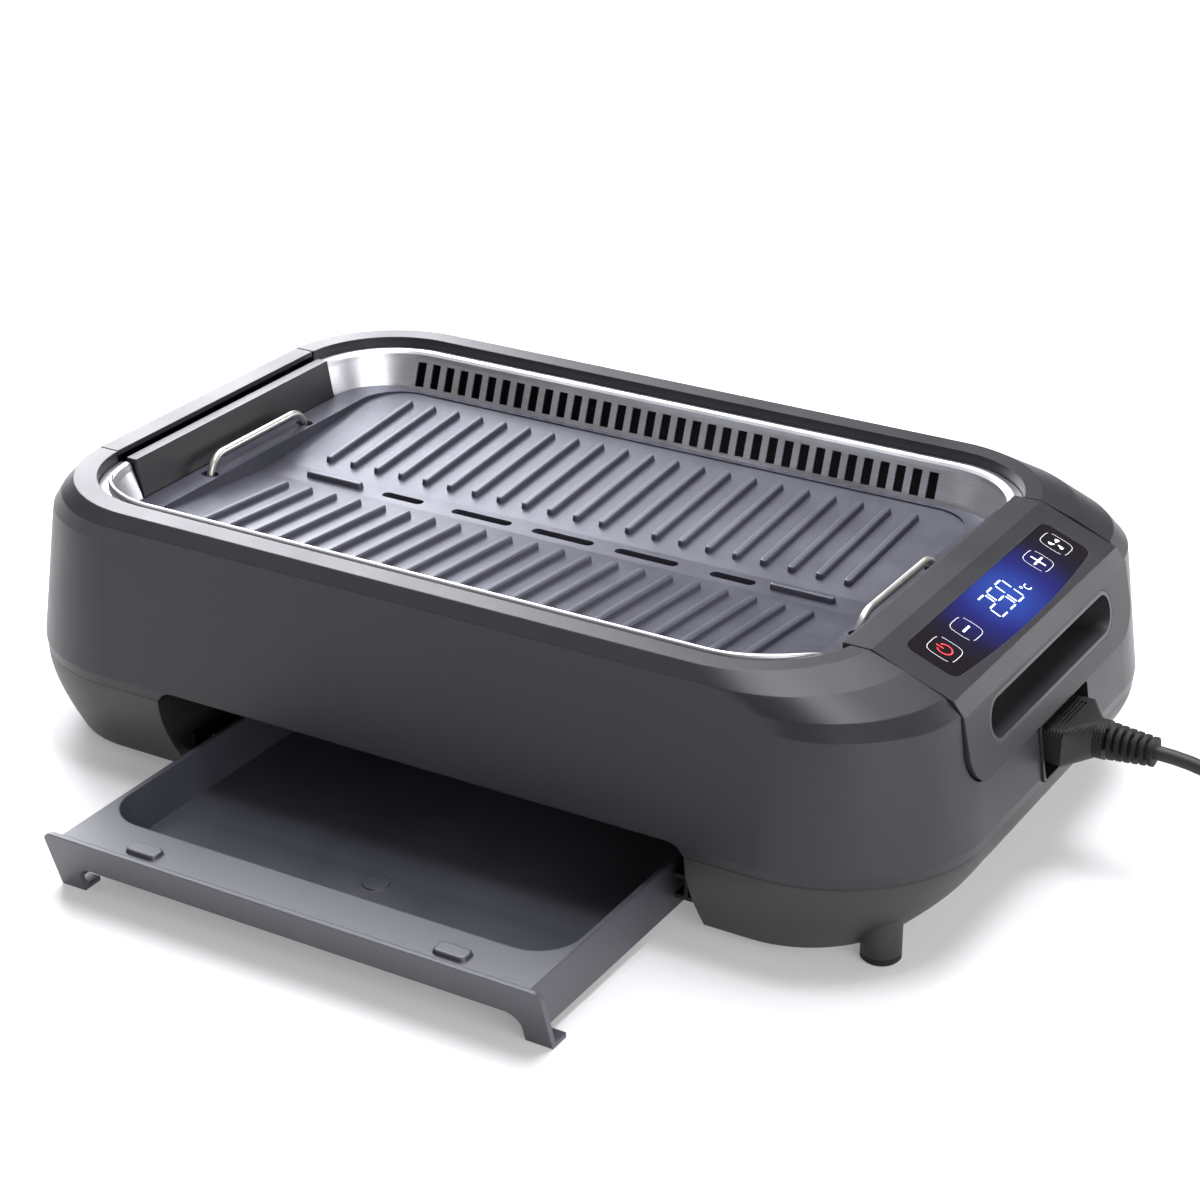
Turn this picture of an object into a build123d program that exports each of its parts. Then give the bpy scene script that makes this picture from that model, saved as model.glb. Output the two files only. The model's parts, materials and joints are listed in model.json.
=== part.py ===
from build123d import *
import math
import os

# Smokeless electric table grill, in millimetres.
# The floor is z = 0 and the grill plate's centre x = y = 0; +X runs to the control end, -Y to the drawer.

# Clearances
seam = 0.4
cover_seam = 1.0
slide_gap = 0.4
fit_gap = 0.3
bore_gap = 0.06

# Grill plate
rib_pitch = 15.5
ribs_per_row = 21
rib_length = 81.0
rib_inner_end = 18.3
rib_width = 4.8
rib_height = 3.0
rib_taper = 10.0
rib_round = 1.1
rib_sink = 0.3
rib_shift = -1.6
centre_rib_length = 36.0
centre_rib_x = 139.0
drip_slot_pitch = 49.0
drip_slot_shift = 2.4
drip_slot_length = 36.0
drip_slot_end_length = 25.0
drip_slot_width = 6.0
field_end_margin = 28.0
field_side_margin = 12.7
field_radius = 24.0
field_depth = 9.0
field_edge_depth = 0.8
valley_half = 8.0
plate_thickness = 4.0
plate_rim_width = 3.0
plate_ledge_width = 15.0
plate_drop = 23.2

# Wire handles of the plate
wire_radius = 2.0
handle_half_span = 42.0
handle_rise = 8.6
handle_corner_radius = 12.0
handle_foot_radius = 4.5
handle_pin_length = 6.0
handle_boss_wall = 1.5
handle_boss_length = 8.4
handle_hole_length = 10.0
handle_hole_gap = 1.5
handle_axis_drop = 8.0
handle_offset = 6.2

# Steel liner
liner_width = 21.3
liner_end_width = 15.5
liner_sheet = 1.0
liner_lip_width = 8.4
liner_lip_crown = 1.0
liner_roll = 4.0
liner_lean = 6.2
liner_foot_width = 5.0
liner_lip_drop = 5.0
vent_count = 35
vent_pitch = 9.32
vent_width = 5.3
vent_centre_x = -8.5
vent_top_margin = 1.8
vent_bottom_margin = 2.0

# Upper housing
rim_z = 142.0
rim_width = 11.6
housing_wall = 2.8
housing_roof = 3.0
chamfer_drop = 6.0
chamfer_out = 5.6
chamfer_out_left = 4.0
end_drop = 14.0
end_out_left = 9.2
end_out_right = 33.0
brow_drop = 7.3
brow_out = 8.0
brow_flare = 0.8
belly_z = 57.0
belly_out = 14.0
belly_out_left = 21.0
belly_out_right = 51.0
belly_radius = 76.0
split_z = 52.0
split_tuck = 0.4
skirt_depth = 9.0
skirt_wall = 2.4
liner_seat_width = 5.0
rim_corner_extra = 5.0
liner_seat_thickness = 2.0

# Base shell
base_step = 0.6
base_bottom_z = 5.4
base_inset = 20.3
base_inset_left = 12.5
base_inset_right = 33.0
base_wall = 2.6
base_floor = 3.0
hull_round = 27.0
hull_steps = 5

# Feet and their screws
foot_radius = 9.6
foot_height = 4.0
foot_inset_x_left = 36.5
foot_inset_y_left = 48.5
foot_inset_x_right = 34.4
foot_inset_y_right = 45.4
foot_chamfer = 1.2
foot_stem_radius = 6.0
foot_stem_height = 3.0
foot_recess_radius = 4.6
foot_recess_depth = 2.8
leg_top_z = 31.0
screw_radius = 2.0
screw_head_radius = 3.8
screw_head_height = 2.2
screw_length = 58.0
post_radius = 4.2
boss_radius = 6.8

# Control saddle at the right end
saddle_margin = 25.3
saddle_inlet_gap = 0.4
saddle_corner = 18.0
saddle_sheet = 3.4
saddle_overlap = 6.6
saddle_slope_run = 40.5
saddle_slope_angle = 21.0
saddle_brow_run = 5.5
saddle_brow_drop = 7.0
saddle_proud = 2.6

# Left end cover
cover_margin = 14.0
cover_proud = 0.6
cover_sheet = 2.8

# Inner end blocks beside the plate
end_block_drop = 3.0
end_block_lean = 4.6
end_block_sheet = 2.4
end_block_gap = 1.0
end_groove = 4.4

# Touch glass and control board
glass_thickness = 1.8
glass_start = 8.8
glass_width = 27.2
glass_bow = 4.3
glass_end_margin = 16.7
glass_radius = 5.0
board_thickness = 1.6
board_width = 18.0
board_end_margin = 5.6
board_depth = 9.0
board_post_radius = 2.6
display_half = 30.0
display_width = 13.0
display_height = 3.0

# Hand recess cups
recess_half = 71.0
recess_place_share = 0.615
recess_height_share = 0.536
recess_depth = 22.0
cup_wall = 2.0

# Inlet and supply lead
inlet_y = 10.0
inlet_z = 68.2
inlet_half_width = 28.0
inlet_half_height = 13.6
inlet_depth = 20.0
inlet_wall = 1.8
inlet_corner = 2.0
inlet_proud = 1.0
pin_spacing = 22.0
pin_radius = 3.0
pin_length = 17.0
plug_half_width = 22.0
plug_half_height = 9.8
plug_corner = 5.0
plug_length = 26.0
plug_taper = 10.0
plug_nose_gap = 1.0
collar_radius = 9.6
collar_length = 5.0
grip_ribs = 9
grip_rib_depth = 0.8
relief_ribs = 6
relief_pitch = 3.9
relief_radius = 9.0
relief_end_radius = 7.2
relief_core_radius = 5.2
cord_radius = 3.6

# Heat pan, element and sensors
pan_sheet = 1.0
pan_depth = 30.8
pan_gap = 2.2
pan_ledge_rest = 1.8
pan_draft = 4.0
pan_flange_gap = 8.0
pan_opening_length = 236.0
pan_opening_width = 34.0
pan_opening_radius = 8.0
element_radius = 3.5
element_drop = 16.8
element_inner_y = 32.0
element_outer_y = 84.0
element_turn_x = 150.0
element_loop_x = 118.0
element_reach = 13.0
terminal_radius = 1.6
terminal_length = 9.0
clip_width = 7.0
clip_length = 14.0
probe_x = 172.0
probe_radius = 6.0
probe_stem_radius = 3.0
probe_cap = 3.0
cutout_y = 60.0
cutout_radius = 9.0
cutout_height = 7.0
cutout_inset = 20.2

# Drawer bay and tray
bay_x = 14.5
tray_side_gap = 20.0
bay_wall = 2.5
bay_back = 122.0
bay_top_z = 57.5
bay_corner = 9.0
tray_x = 16.0
fascia_half = 136.5
fascia_overhang = 7.5
tray_depth = 268.0
tray_top_z = 31.5
tray_bottom_z = 5.5
tray_wall = 2.6
tray_floor = 3.0
tray_ledge = 30.0
tray_ledge_thickness = 3.0
tray_basin_radius = 22.0
tray_basin_draft = 6.0
tray_out = 104.0
fascia_lip = 2.0
fascia_thickness = 3.0
fascia_lean = 11.0
fascia_corner = 5.0
fascia_reveal = 1.0
fascia_height = 18.0
fascia_leg_width = 14.0
fascia_arch_radius = 8.0
fascia_foot_length = 11.0
fascia_foot_thickness = 2.4
bump_side_inset = 44.0
bump_inset = 12.0
bump_length = 18.0
bump_width = 10.0
bump_height = 2.4
bump_radius = 3.5
bump_round = 1.2
dimple_inset = 75.0
dimple_radius = 6.5
dimple_height = 0.8
lug_length = 50.0
lug_width = 5.6
lug_bottom_z = 15.3
lug_height = 8.3
runner_sheet = 2.0
runner_gap = 0.8
runner_flange = 8.0
runner_setback = 4.0

# Fan
fan_place_share = 0.466
fan_y = -20.0
motor_radius = 21.0
motor_height = 24.0
shaft_radius = 2.0
shaft_length = 30.0
shaft_socket = 10.0
impeller_gap = 6.0
impeller_eye = 17.0
impeller_plate = 2.0
impeller_height = 17.0
impeller_lift = 4.0
impeller_blades = 14
blade_thickness = 1.4
blade_sweep = 28.0
hub_radius = 8.0
casing_share = 0.3727
casing_wall = 1.8
casing_top_gap = 3.0
casing_eye_radius = 21.0
duct_half_width = 18.0
duct_shift = 8.0
duct_end_gap = 13.0
exhaust_slots = 7
exhaust_pitch = 6.0
exhaust_width = 3.0

# Power board
power_length = 120.0
power_width_share = 0.6744
power_place_share = 0.519
power_lift = 6.0
power_post_radius = 3.0
relay_size = 18.0

# Supply cord, from the plug to the coil and on to the mains plug
coil_radius = 12.0 * cord_radius
coil_turns = 3
coil_pitch = 7.9
coil_x = 400.0
coil_y = 110.0
tie_wall = 1.5
tie_width = 8.0
coil_z = cord_radius + tie_wall + fit_gap
mains_radius = 13.0
mains_length = 38.0
mains_pin_radius = 2.4
mains_pin_spacing = 19.0
mains_pin_length = 19.0
mains_z = mains_radius + fit_gap

# Sizes worked out from the driving sizes above
ledge_z = rim_z - plate_drop
field_floor_z = ledge_z - field_depth
field_edge_z = ledge_z - field_edge_depth
field_half_length = rib_pitch * (ribs_per_row - 1) / 2 + field_end_margin
field_half_width = rib_inner_end + rib_length + field_side_margin
plate_half_length = field_half_length + plate_ledge_width
plate_half_width = field_half_width + plate_rim_width
plate_radius = field_radius + plate_rim_width
ledge_under_z = ledge_z - plate_thickness
pan_floor_z = ledge_under_z - pan_depth
element_z = ledge_under_z - element_drop
handle_x = field_half_length + handle_offset
handle_axis_z = ledge_z - handle_axis_drop
handle_bar_z = ledge_z + handle_rise

rim_in_half_length = plate_half_length + liner_end_width
rim_in_half_width = plate_half_width + liner_width
rim_in_radius = plate_radius + liner_width + rim_corner_extra
rim_half_length = rim_in_half_length + rim_width
rim_half_width = rim_in_half_width + rim_width
rim_radius = rim_in_radius + rim_width
liner_lip_z = rim_z - liner_lip_drop
liner_seat_z = liner_lip_z - liner_lip_crown - liner_sheet
liner_wall_offset = liner_lip_width + seam
liner_foot_offset = liner_wall_offset + liner_lean

saddle_half = recess_half + saddle_margin
cover_half = recess_half + cover_margin
glass_half = saddle_half - glass_end_margin
board_half = glass_half - board_end_margin
saddle_bottom_z = inlet_z + inlet_half_height + inlet_wall + saddle_inlet_gap

belly_left = rim_half_length + belly_out_left
belly_right = rim_half_length + belly_out_right
belly_half_width = rim_half_width + belly_out
base_inner_floor_z = base_bottom_z + base_floor
tray_half = fascia_half - fascia_overhang
bay_half = tray_half + tray_side_gap
bay_left_x = bay_x - bay_half
bay_right_x = bay_x + bay_half
left_room = belly_left - base_inset_left + bay_left_x - bay_wall
right_room = belly_right - base_inset_right - bay_right_x - bay_wall
power_width = power_width_share * right_room
power_x = bay_right_x + bay_wall + power_place_share * right_room
casing_z = base_inner_floor_z
casing_radius = casing_share * left_room
impeller_radius = casing_radius - impeller_gap
fan_x = bay_left_x - bay_wall - fan_place_share * left_room
duct_x = fan_x + duct_shift


def ring(z, left, right, half_width, radius):
    """Rounded rectangle at height z, from x = -left to x = right."""
    return Pos((right - left) / 2, 0, z) * RectangleRounded(left + right, 2 * half_width, radius)


def inner_ring(z, inset):
    """The rim's inner outline at height z, drawn in by an inset."""
    half_length = rim_in_half_length - inset
    return ring(z, half_length, half_length, rim_in_half_width - inset, rim_in_radius - inset)


def slab(face, height):
    """A flat face pushed straight up."""
    return extrude(face, height, dir=(0, 0, 1))


def block(x0, x1, y0, y1, z0, z1):
    """Box between two corners."""
    return Pos((x0 + x1) / 2, (y0 + y1) / 2, (z0 + z1) / 2) * Box(x1 - x0, y1 - y0, z1 - z0)


def column(x, y, z0, z1, radius):
    """Upright cylinder."""
    return Pos(x, y, (z0 + z1) / 2) * Cylinder(radius, z1 - z0)


def along_y(points, y0, y1):
    """Closed outline of (x, z) points, pushed from y0 to y1."""
    face = Plane.XZ.offset(-y0) * make_face(Polyline(*points, close=True))
    return extrude(face, y1 - y0, dir=(0, 1, 0))


def along_x(sketch, x0, x1):
    """Sketch of (y, z), pushed from x0 to x1."""
    return extrude(Plane.YZ.offset(x0) * sketch, x1 - x0, dir=(1, 0, 0))


def sheet_outline(path, thickness):
    """Closed outline of a sheet that lies on the right-hand side of a path of (x, z) points."""
    normals = []
    for (x0, z0), (x1, z1) in zip(path[:-1], path[1:]):
        size = math.hypot(x1 - x0, z1 - z0)
        normals.append(((z1 - z0) / size, -(x1 - x0) / size))
    inner = []
    for index, (x, z) in enumerate(path):
        before = normals[max(index - 1, 0)]
        after = normals[min(index, len(normals) - 1)]
        scale = thickness / (1 + before[0] * after[0] + before[1] * after[1])
        inner.append((x + scale * (before[0] + after[0]), z + scale * (before[1] + after[1])))
    return list(path) + inner[::-1]


def housing_sections(inset, drop):
    """Outlines of the upper housing from the rim down to the split line."""
    left = rim_half_length
    right = rim_half_length
    rows = [
        (rim_z, left, right - chamfer_drop / 2, rim_half_width, rim_radius),
        (rim_z - chamfer_drop, left + chamfer_out_left, right + end_out_right * chamfer_drop / end_drop,
         rim_half_width + chamfer_out, rim_radius),
        (rim_z - end_drop, left + end_out_left, right + end_out_right,
         rim_half_width + chamfer_out + brow_flare, rim_radius),
        (rim_z - end_drop - brow_drop, left + end_out_left + brow_flare, right + end_out_right + brow_out,
         rim_half_width + chamfer_out + 2 * brow_flare, rim_radius),
        (belly_z, belly_left, belly_right, belly_half_width, belly_radius),
        (split_z, belly_left - split_tuck, belly_right - split_tuck,
         belly_half_width - split_tuck, belly_radius),
    ]
    result = []
    for z, x_left, x_right, half_width, radius in rows:
        lowered = z if z == split_z else z - drop
        result.append(ring(lowered, x_left - inset, x_right - inset, half_width - inset, radius - inset))
    return result


def hull_share(z):
    """Share of the base's inset reached at height z: upright at the split line, slanting further down."""
    full = math.hypot(split_z - base_bottom_z, hull_round) - hull_round
    return (math.hypot(split_z - z, hull_round) - hull_round) / full


def hull_sections(inset, bottom_z):
    """Outlines of the base from the split line down to its bottom edge."""
    result = []
    for step in range(hull_steps):
        z = split_z + (bottom_z - split_z) * step / (hull_steps - 1)
        share = hull_share(z)
        pull = base_step + inset
        left = belly_left - pull - base_inset_left * share
        right = belly_right - pull - base_inset_right * share
        side = pull + base_inset * share
        result.append(ring(z, left, right, belly_half_width - side, belly_radius - side))
    return result


def end_wall_x(z):
    """Outer face of the right end wall below the brow."""
    brow_z = rim_z - end_drop - brow_drop
    brow_x = rim_half_length + end_out_right + brow_out
    return brow_x + (belly_right - brow_x) * (brow_z - z) / (brow_z - belly_z)


def left_wall_x(z):
    """Distance of the left end wall's outer face from the plate's centre."""
    brow_z = rim_z - end_drop - brow_drop
    brow_x = rim_half_length + end_out_left + brow_flare
    return brow_x + (belly_left - brow_x) * (brow_z - z) / (brow_z - belly_z)


saddle_crest_x = rim_half_length - 4.0
saddle_slope_drop = saddle_slope_run * math.tan(math.radians(saddle_slope_angle))
saddle_inner_x = rim_in_half_length - saddle_overlap
brow_low_z = rim_z - saddle_slope_drop - saddle_brow_drop
recess_z = saddle_bottom_z + recess_place_share * (brow_low_z - saddle_bottom_z)
recess_height = recess_height_share * (brow_low_z - saddle_bottom_z)
saddle_path = [
    (saddle_inner_x, rim_z),
    (saddle_crest_x, rim_z),
    (saddle_crest_x + saddle_slope_run, rim_z - saddle_slope_drop),
    (saddle_crest_x + saddle_slope_run + saddle_brow_run, brow_low_z),
    (end_wall_x(saddle_bottom_z) + saddle_proud, saddle_bottom_z),
]
cover_path = [
    (rim_in_half_length + seam, rim_z),
    (rim_half_length, rim_z),
    (rim_half_length + end_out_left + cover_proud, rim_z - end_drop),
    (left_wall_x(saddle_bottom_z) + cover_proud, saddle_bottom_z),
]
slope_plane = Plane(
    origin=(saddle_crest_x, 0, rim_z),
    x_dir=(math.cos(math.radians(saddle_slope_angle)), 0, -math.sin(math.radians(saddle_slope_angle))),
    z_dir=(math.sin(math.radians(saddle_slope_angle)), 0, math.cos(math.radians(saddle_slope_angle))),
)
foot_places = []
for side in (-1, 1):
    foot_places.append((belly_right - foot_inset_x_right, side * (belly_half_width - foot_inset_y_right)))
    foot_places.append((-belly_left + foot_inset_x_left, side * (belly_half_width - foot_inset_y_left)))


def end_notch(half, gap):
    """Sketch of the opening that an end cover fills, seen along X, with rounded lower corners."""
    tall = 2 * (rim_z - saddle_bottom_z)
    shape = RectangleRounded(2 * (half + gap), tall + 2 * gap, saddle_corner + gap)
    return Pos(0, saddle_bottom_z + tall / 2) * shape


def recess_slot(extra):
    """Sketch of the hand recess, seen along X."""
    return Pos(0, recess_z) * SlotOverall(2 * (recess_half + extra), recess_height + 2 * extra)


def end_cover(path, half, thickness):
    """Sheet cover over an end, with rounded lower corners and the hand recess cut out."""
    cover = along_y(sheet_outline(path, thickness), -half, half)
    cover = cover & along_x(end_notch(half, 0), 0, 2 * belly_right)
    return cover - along_x(recess_slot(cup_wall + seam / 2), path[1][0], 2 * belly_right)


def hand_cup(path):
    """Cup behind the hand recess, flush with the cover's outer face."""
    region = along_y(path + [(path[0][0], saddle_bottom_z)], -2 * recess_half, 2 * recess_half)
    face_x = path[-2][0]
    cup = along_x(recess_slot(cup_wall), face_x - recess_depth - cup_wall, 2 * belly_right) & region
    return cup - along_x(recess_slot(0), face_x - recess_depth, 2 * belly_right)


def upper_housing():
    """Moulded shell with a chamfered rim, notched at both ends and above the drawer."""
    outer = loft(housing_sections(0, 0), ruled=True)
    cavity_sections = housing_sections(housing_wall, housing_roof)
    cavity = loft(cavity_sections, ruled=True)
    shell = outer - cavity
    shell -= slab(inner_ring(rim_z - 2 * skirt_depth, 0), 3 * skirt_depth)
    skirt = slab(inner_ring(rim_z - skirt_depth, -skirt_wall) - inner_ring(rim_z - skirt_depth, 0),
                 skirt_depth - housing_roof / 2)
    seat_z = liner_seat_z - liner_seat_thickness
    seat = slab(inner_ring(seat_z, -skirt_wall) - inner_ring(seat_z, liner_seat_width), liner_seat_thickness)
    shell += skirt + seat
    for x, y in foot_places:
        post = column(x, y, split_z, rim_z, post_radius) & outer
        shell += post - column(x, y, split_z - 1, screw_length + 4, screw_radius + bore_gap)
    shell -= along_x(end_notch(saddle_half, cover_seam), saddle_inner_x - seam, 2 * belly_right)
    shell -= along_x(end_notch(cover_half, cover_seam), -2 * belly_left, -rim_in_half_length + skirt_wall)
    shell -= drawer_opening()
    return shell - inlet_cut(seam / 2)


def drawer_opening():
    """Opening in the front wall that the drawer comes out of."""
    tall = 2 * bay_top_z
    shape = Pos(bay_x, 0) * RectangleRounded(2 * bay_half, tall, bay_corner)
    front = Plane.XZ.offset(belly_half_width + 10) * shape
    return extrude(front, 40, dir=(0, 1, 0))


def inlet_cut(gap):
    """Block cut out of the right end wall for the inlet socket."""
    grown = inlet_wall + gap
    shape = RectangleRounded(2 * (inlet_half_width + grown), 2 * (inlet_half_height + grown), inlet_corner + grown)
    return along_x(Pos(inlet_y, inlet_z) * shape, belly_right - inlet_depth - 10, belly_right + 10)


def base_shell():
    """Hull-shaped lower shell, open in front and below for the drawer, with bay walls and foot sockets."""
    outer = loft(hull_sections(0, base_bottom_z))
    hollow = loft(hull_sections(base_wall, base_inner_floor_z))
    shell = outer - hollow
    bay = block(bay_left_x, bay_right_x, -2 * belly_half_width, bay_back, -1, split_z + 1)
    shell -= bay
    shell -= drawer_opening()
    wall_top = pan_floor_z
    front_y = -(belly_half_width - housing_wall - 6)
    for wall_x in (bay_left_x - bay_wall, bay_right_x):
        low = block(wall_x, wall_x + bay_wall, -2 * belly_half_width, bay_back + bay_wall,
                    base_bottom_z, split_z)
        high = block(wall_x, wall_x + bay_wall, front_y, bay_back + bay_wall, split_z, wall_top)
        shell += (low & outer) + high
    shell += block(bay_left_x, bay_right_x, bay_back, bay_back + bay_wall, base_bottom_z, split_z)
    for x, y in foot_places:
        shell += column(x, y, foot_height, leg_top_z, foot_radius)
        shell += column(x, y, leg_top_z, split_z, boss_radius)
        shell -= column(x, y, 0, foot_height + foot_stem_height, foot_stem_radius + fit_gap)
        shell -= column(x, y, 0, split_z + 1, screw_radius + 2 * bore_gap)
    for index in range(exhaust_slots):
        x = duct_x + (index - (exhaust_slots - 1) / 2) * exhaust_pitch
        shell -= block(x - exhaust_width / 2, x + exhaust_width / 2, bay_back, 2 * belly_half_width,
                       casing_z + 5, split_z - 8)
    for x in (power_x - power_width / 2 + 6, power_x + power_width / 2 - 6):
        for y in (-power_length / 2 + 8, power_length / 2 - 8):
            shell += column(x, y, base_inner_floor_z - 1, base_inner_floor_z + power_lift, power_post_radius)
    return shell


def rubber_feet():
    """Four round pads with stems in the base's legs, recessed for their screws."""
    feet = []
    for x, y in foot_places:
        pad = column(x, y, 0, foot_height, foot_radius)
        pad = chamfer(pad.edges().group_by(Axis.Z)[0], foot_chamfer)
        foot = pad + column(x, y, foot_height, foot_height + foot_stem_height, foot_stem_radius)
        foot -= column(x, y, -1, foot_recess_depth, foot_recess_radius)
        foot -= column(x, y, 0, foot_height + foot_stem_height + 1, screw_radius + 2 * bore_gap)
        feet.append(foot)
    return Compound(children=feet)


def foot_screws():
    """Four long screws, each through a foot and the base into a post of the housing."""
    screws = []
    for x, y in foot_places:
        head = column(x, y, foot_recess_depth - screw_head_height, foot_recess_depth, screw_head_radius)
        screws.append(head + column(x, y, foot_recess_depth, screw_length, screw_radius))
    return Compound(children=screws)


def glass_outline(gap):
    """Touch glass in the slope's plane: straight inner edge, bowed outer edge, rounded corners."""
    x0 = glass_start - gap
    x1 = glass_start + glass_width + gap
    half = glass_half + gap
    inner = Line((x0, half), (x0, -half))
    front = Line((x0, -half), (x1, -half))
    bow = ThreePointArc((x1, -half), (x1 + glass_bow, 0), (x1, half))
    back = Line((x1, half), (x0, half))
    face = make_face(inner + front + bow + back)
    return fillet(face.vertices(), glass_radius + gap)


def control_saddle():
    """Saddle over the right end that carries the touch glass and the hand recess."""
    saddle = end_cover(saddle_path, saddle_half, saddle_sheet)
    pocket = extrude(slope_plane.offset(-glass_thickness) * glass_outline(seam / 2), glass_thickness + 5)
    posts = []
    for x in (glass_start + 3, glass_start + board_width - 3):
        for y in (-board_half + 6, board_half - 6):
            place = slope_plane.offset(-board_depth) * Pos(x, y) * Circle(board_post_radius)
            posts.append(extrude(place, board_depth - saddle_sheet + 0.5))
    return saddle - pocket + posts


def touch_glass():
    """Flat glass panel, flush with the slope of the saddle."""
    return extrude(slope_plane.offset(-glass_thickness) * glass_outline(0), glass_thickness)


def control_board():
    """Circuit board under the glass with the display module on it."""
    plane = slope_plane.offset(-board_depth - board_thickness)
    middle = glass_start + board_width / 2
    board = extrude(plane * Pos(middle, 0) * Rectangle(board_width, 2 * board_half), board_thickness)
    module = slope_plane.offset(-board_depth) * Pos(middle, 0) * Rectangle(display_width, 2 * display_half)
    return board + extrude(module, display_height)


def end_block(top_z):
    """Inner wall at an end of the plate, with a flat top and a face that leans outward."""
    face_bottom_x = plate_half_length + slide_gap
    face_top_x = face_bottom_x + end_block_lean
    back_x = rim_in_half_length - end_groove
    path = [(face_bottom_x, ledge_under_z), (face_top_x, top_z), (back_x, top_z)]
    half = cover_half - end_block_gap
    wall = along_y(sheet_outline(path, end_block_sheet), -half, half)
    wall &= block(0, back_x, -half, half, ledge_under_z, rim_z)
    foot = block(face_bottom_x + end_block_sheet, back_x, -half, half,
                 ledge_under_z, ledge_under_z + end_block_sheet)
    return wall + foot


def liner(side):
    """Steel liner of the front or the back: rolled lip, leaning wall with vents, foot and rounded ends."""
    foot_z = ledge_under_z
    lip = liner_wall_offset
    path = [
        (seam, liner_lip_z - liner_lip_crown),
        (lip - liner_roll, liner_lip_z),
        (lip - 0.45 * liner_roll, liner_lip_z - 0.1 * liner_roll),
        (lip - 0.12 * liner_roll, liner_lip_z - 0.42 * liner_roll),
        (lip, liner_lip_z - liner_roll),
        (liner_foot_offset, foot_z + liner_sheet),
        (liner_foot_offset + liner_foot_width, foot_z + liner_sheet),
    ]
    outline = [(inset - rim_in_half_width, z) for inset, z in sheet_outline(path, liner_sheet)]
    profile = Plane.YZ * make_face(Polyline(*outline, close=True))
    rail = inner_ring(0, 0).wire()
    sheet = sweep(profile, path=rail)
    far = 2 * rim_in_half_length
    sheet -= slab(ring(foot_z - 1, plate_half_length + slide_gap, plate_half_length + slide_gap,
                       plate_half_width + slide_gap, plate_radius + slide_gap), plate_thickness + 2)
    left_cut = block(-far, 0, -cover_half, cover_half, 0, far)
    right_cut = block(0, far, -saddle_half - cover_seam, saddle_half + cover_seam, 0, far)
    half = block(-far, far, 0, far, 0, far)
    keep = (sheet & half) - left_cut - right_cut
    vents = []
    for index in range(vent_count):
        x = vent_centre_x + (index - (vent_count - 1) / 2) * vent_pitch
        vents.append(block(x - vent_width / 2, x + vent_width / 2, plate_half_width, far,
                           foot_z + liner_sheet + vent_bottom_margin,
                           liner_lip_z - liner_roll - vent_top_margin))
    keep -= vents
    return keep if side > 0 else mirror(keep, Plane.XZ)


def rib(length):
    """Raised rib along X with drafted sides, round ends and a rounded top, standing on the plane z = 0."""
    base = Pos(0, 0, -rib_sink) * SlotOverall(length, rib_width)
    bar = extrude(base, rib_height + rib_sink, taper=rib_taper)
    return fillet(bar.faces().sort_by(Axis.Z)[-1].edges(), rib_round)


def plate_ribs():
    """Two rows of ribs up the field's two slopes and two short ribs on the centre line."""
    slope = math.atan2(field_edge_z - field_floor_z, field_half_width - valley_half)
    reach = rib_inner_end + rib_length / 2
    middle_z = field_floor_z + (reach - valley_half) * math.tan(slope)
    long_rib = rib(rib_length)
    short_rib = rib(centre_rib_length)
    ribs = []
    for side in (-1, 1):
        plane = Plane(origin=(0, side * reach, middle_z), x_dir=(0, side * math.cos(slope), math.sin(slope)),
                      z_dir=(0, -side * math.sin(slope), math.cos(slope)))
        leaning = plane * long_rib
        for index in range(ribs_per_row):
            x = (index - (ribs_per_row - 1) / 2) * rib_pitch + rib_shift
            ribs.append(Pos(x, 0, 0) * leaning)
        ribs.append(Pos(side * centre_rib_x, 0, field_floor_z) * short_rib)
    return ribs


def handle_boss(side_x, side_y):
    """Boss under the plate's ledge that carries one pin of a wire handle."""
    y0 = handle_half_span + handle_foot_radius
    y1 = y0 + handle_pin_length + handle_boss_wall
    half = handle_boss_length / 2
    low = handle_axis_z - wire_radius - handle_boss_wall
    boss = block(side_x * handle_x - half, side_x * handle_x + half, min(side_y * y0, side_y * y1),
                 max(side_y * y0, side_y * y1), low, ledge_under_z + 0.5)
    pin_end = y1 - handle_boss_wall + slide_gap
    pin = Plane.XZ.offset(-side_y * (y0 - 1)) * Pos(side_x * handle_x, handle_axis_z)
    return boss - extrude(pin * Circle(wire_radius + bore_gap), pin_end - y0 + 1, dir=(0, side_y, 0))


def field_section(drop, half_width):
    """Sketch of the field's shallow V, seen along X, lowered by a drop and open at the top."""
    points = [
        (-half_width, ledge_z + plate_thickness - drop),
        (-half_width, field_edge_z - drop),
        (-valley_half, field_floor_z - drop),
        (valley_half, field_floor_z - drop),
        (half_width, field_edge_z - drop),
        (half_width, ledge_z + plate_thickness - drop),
    ]
    return make_face(Polyline(*points, close=True))


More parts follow.
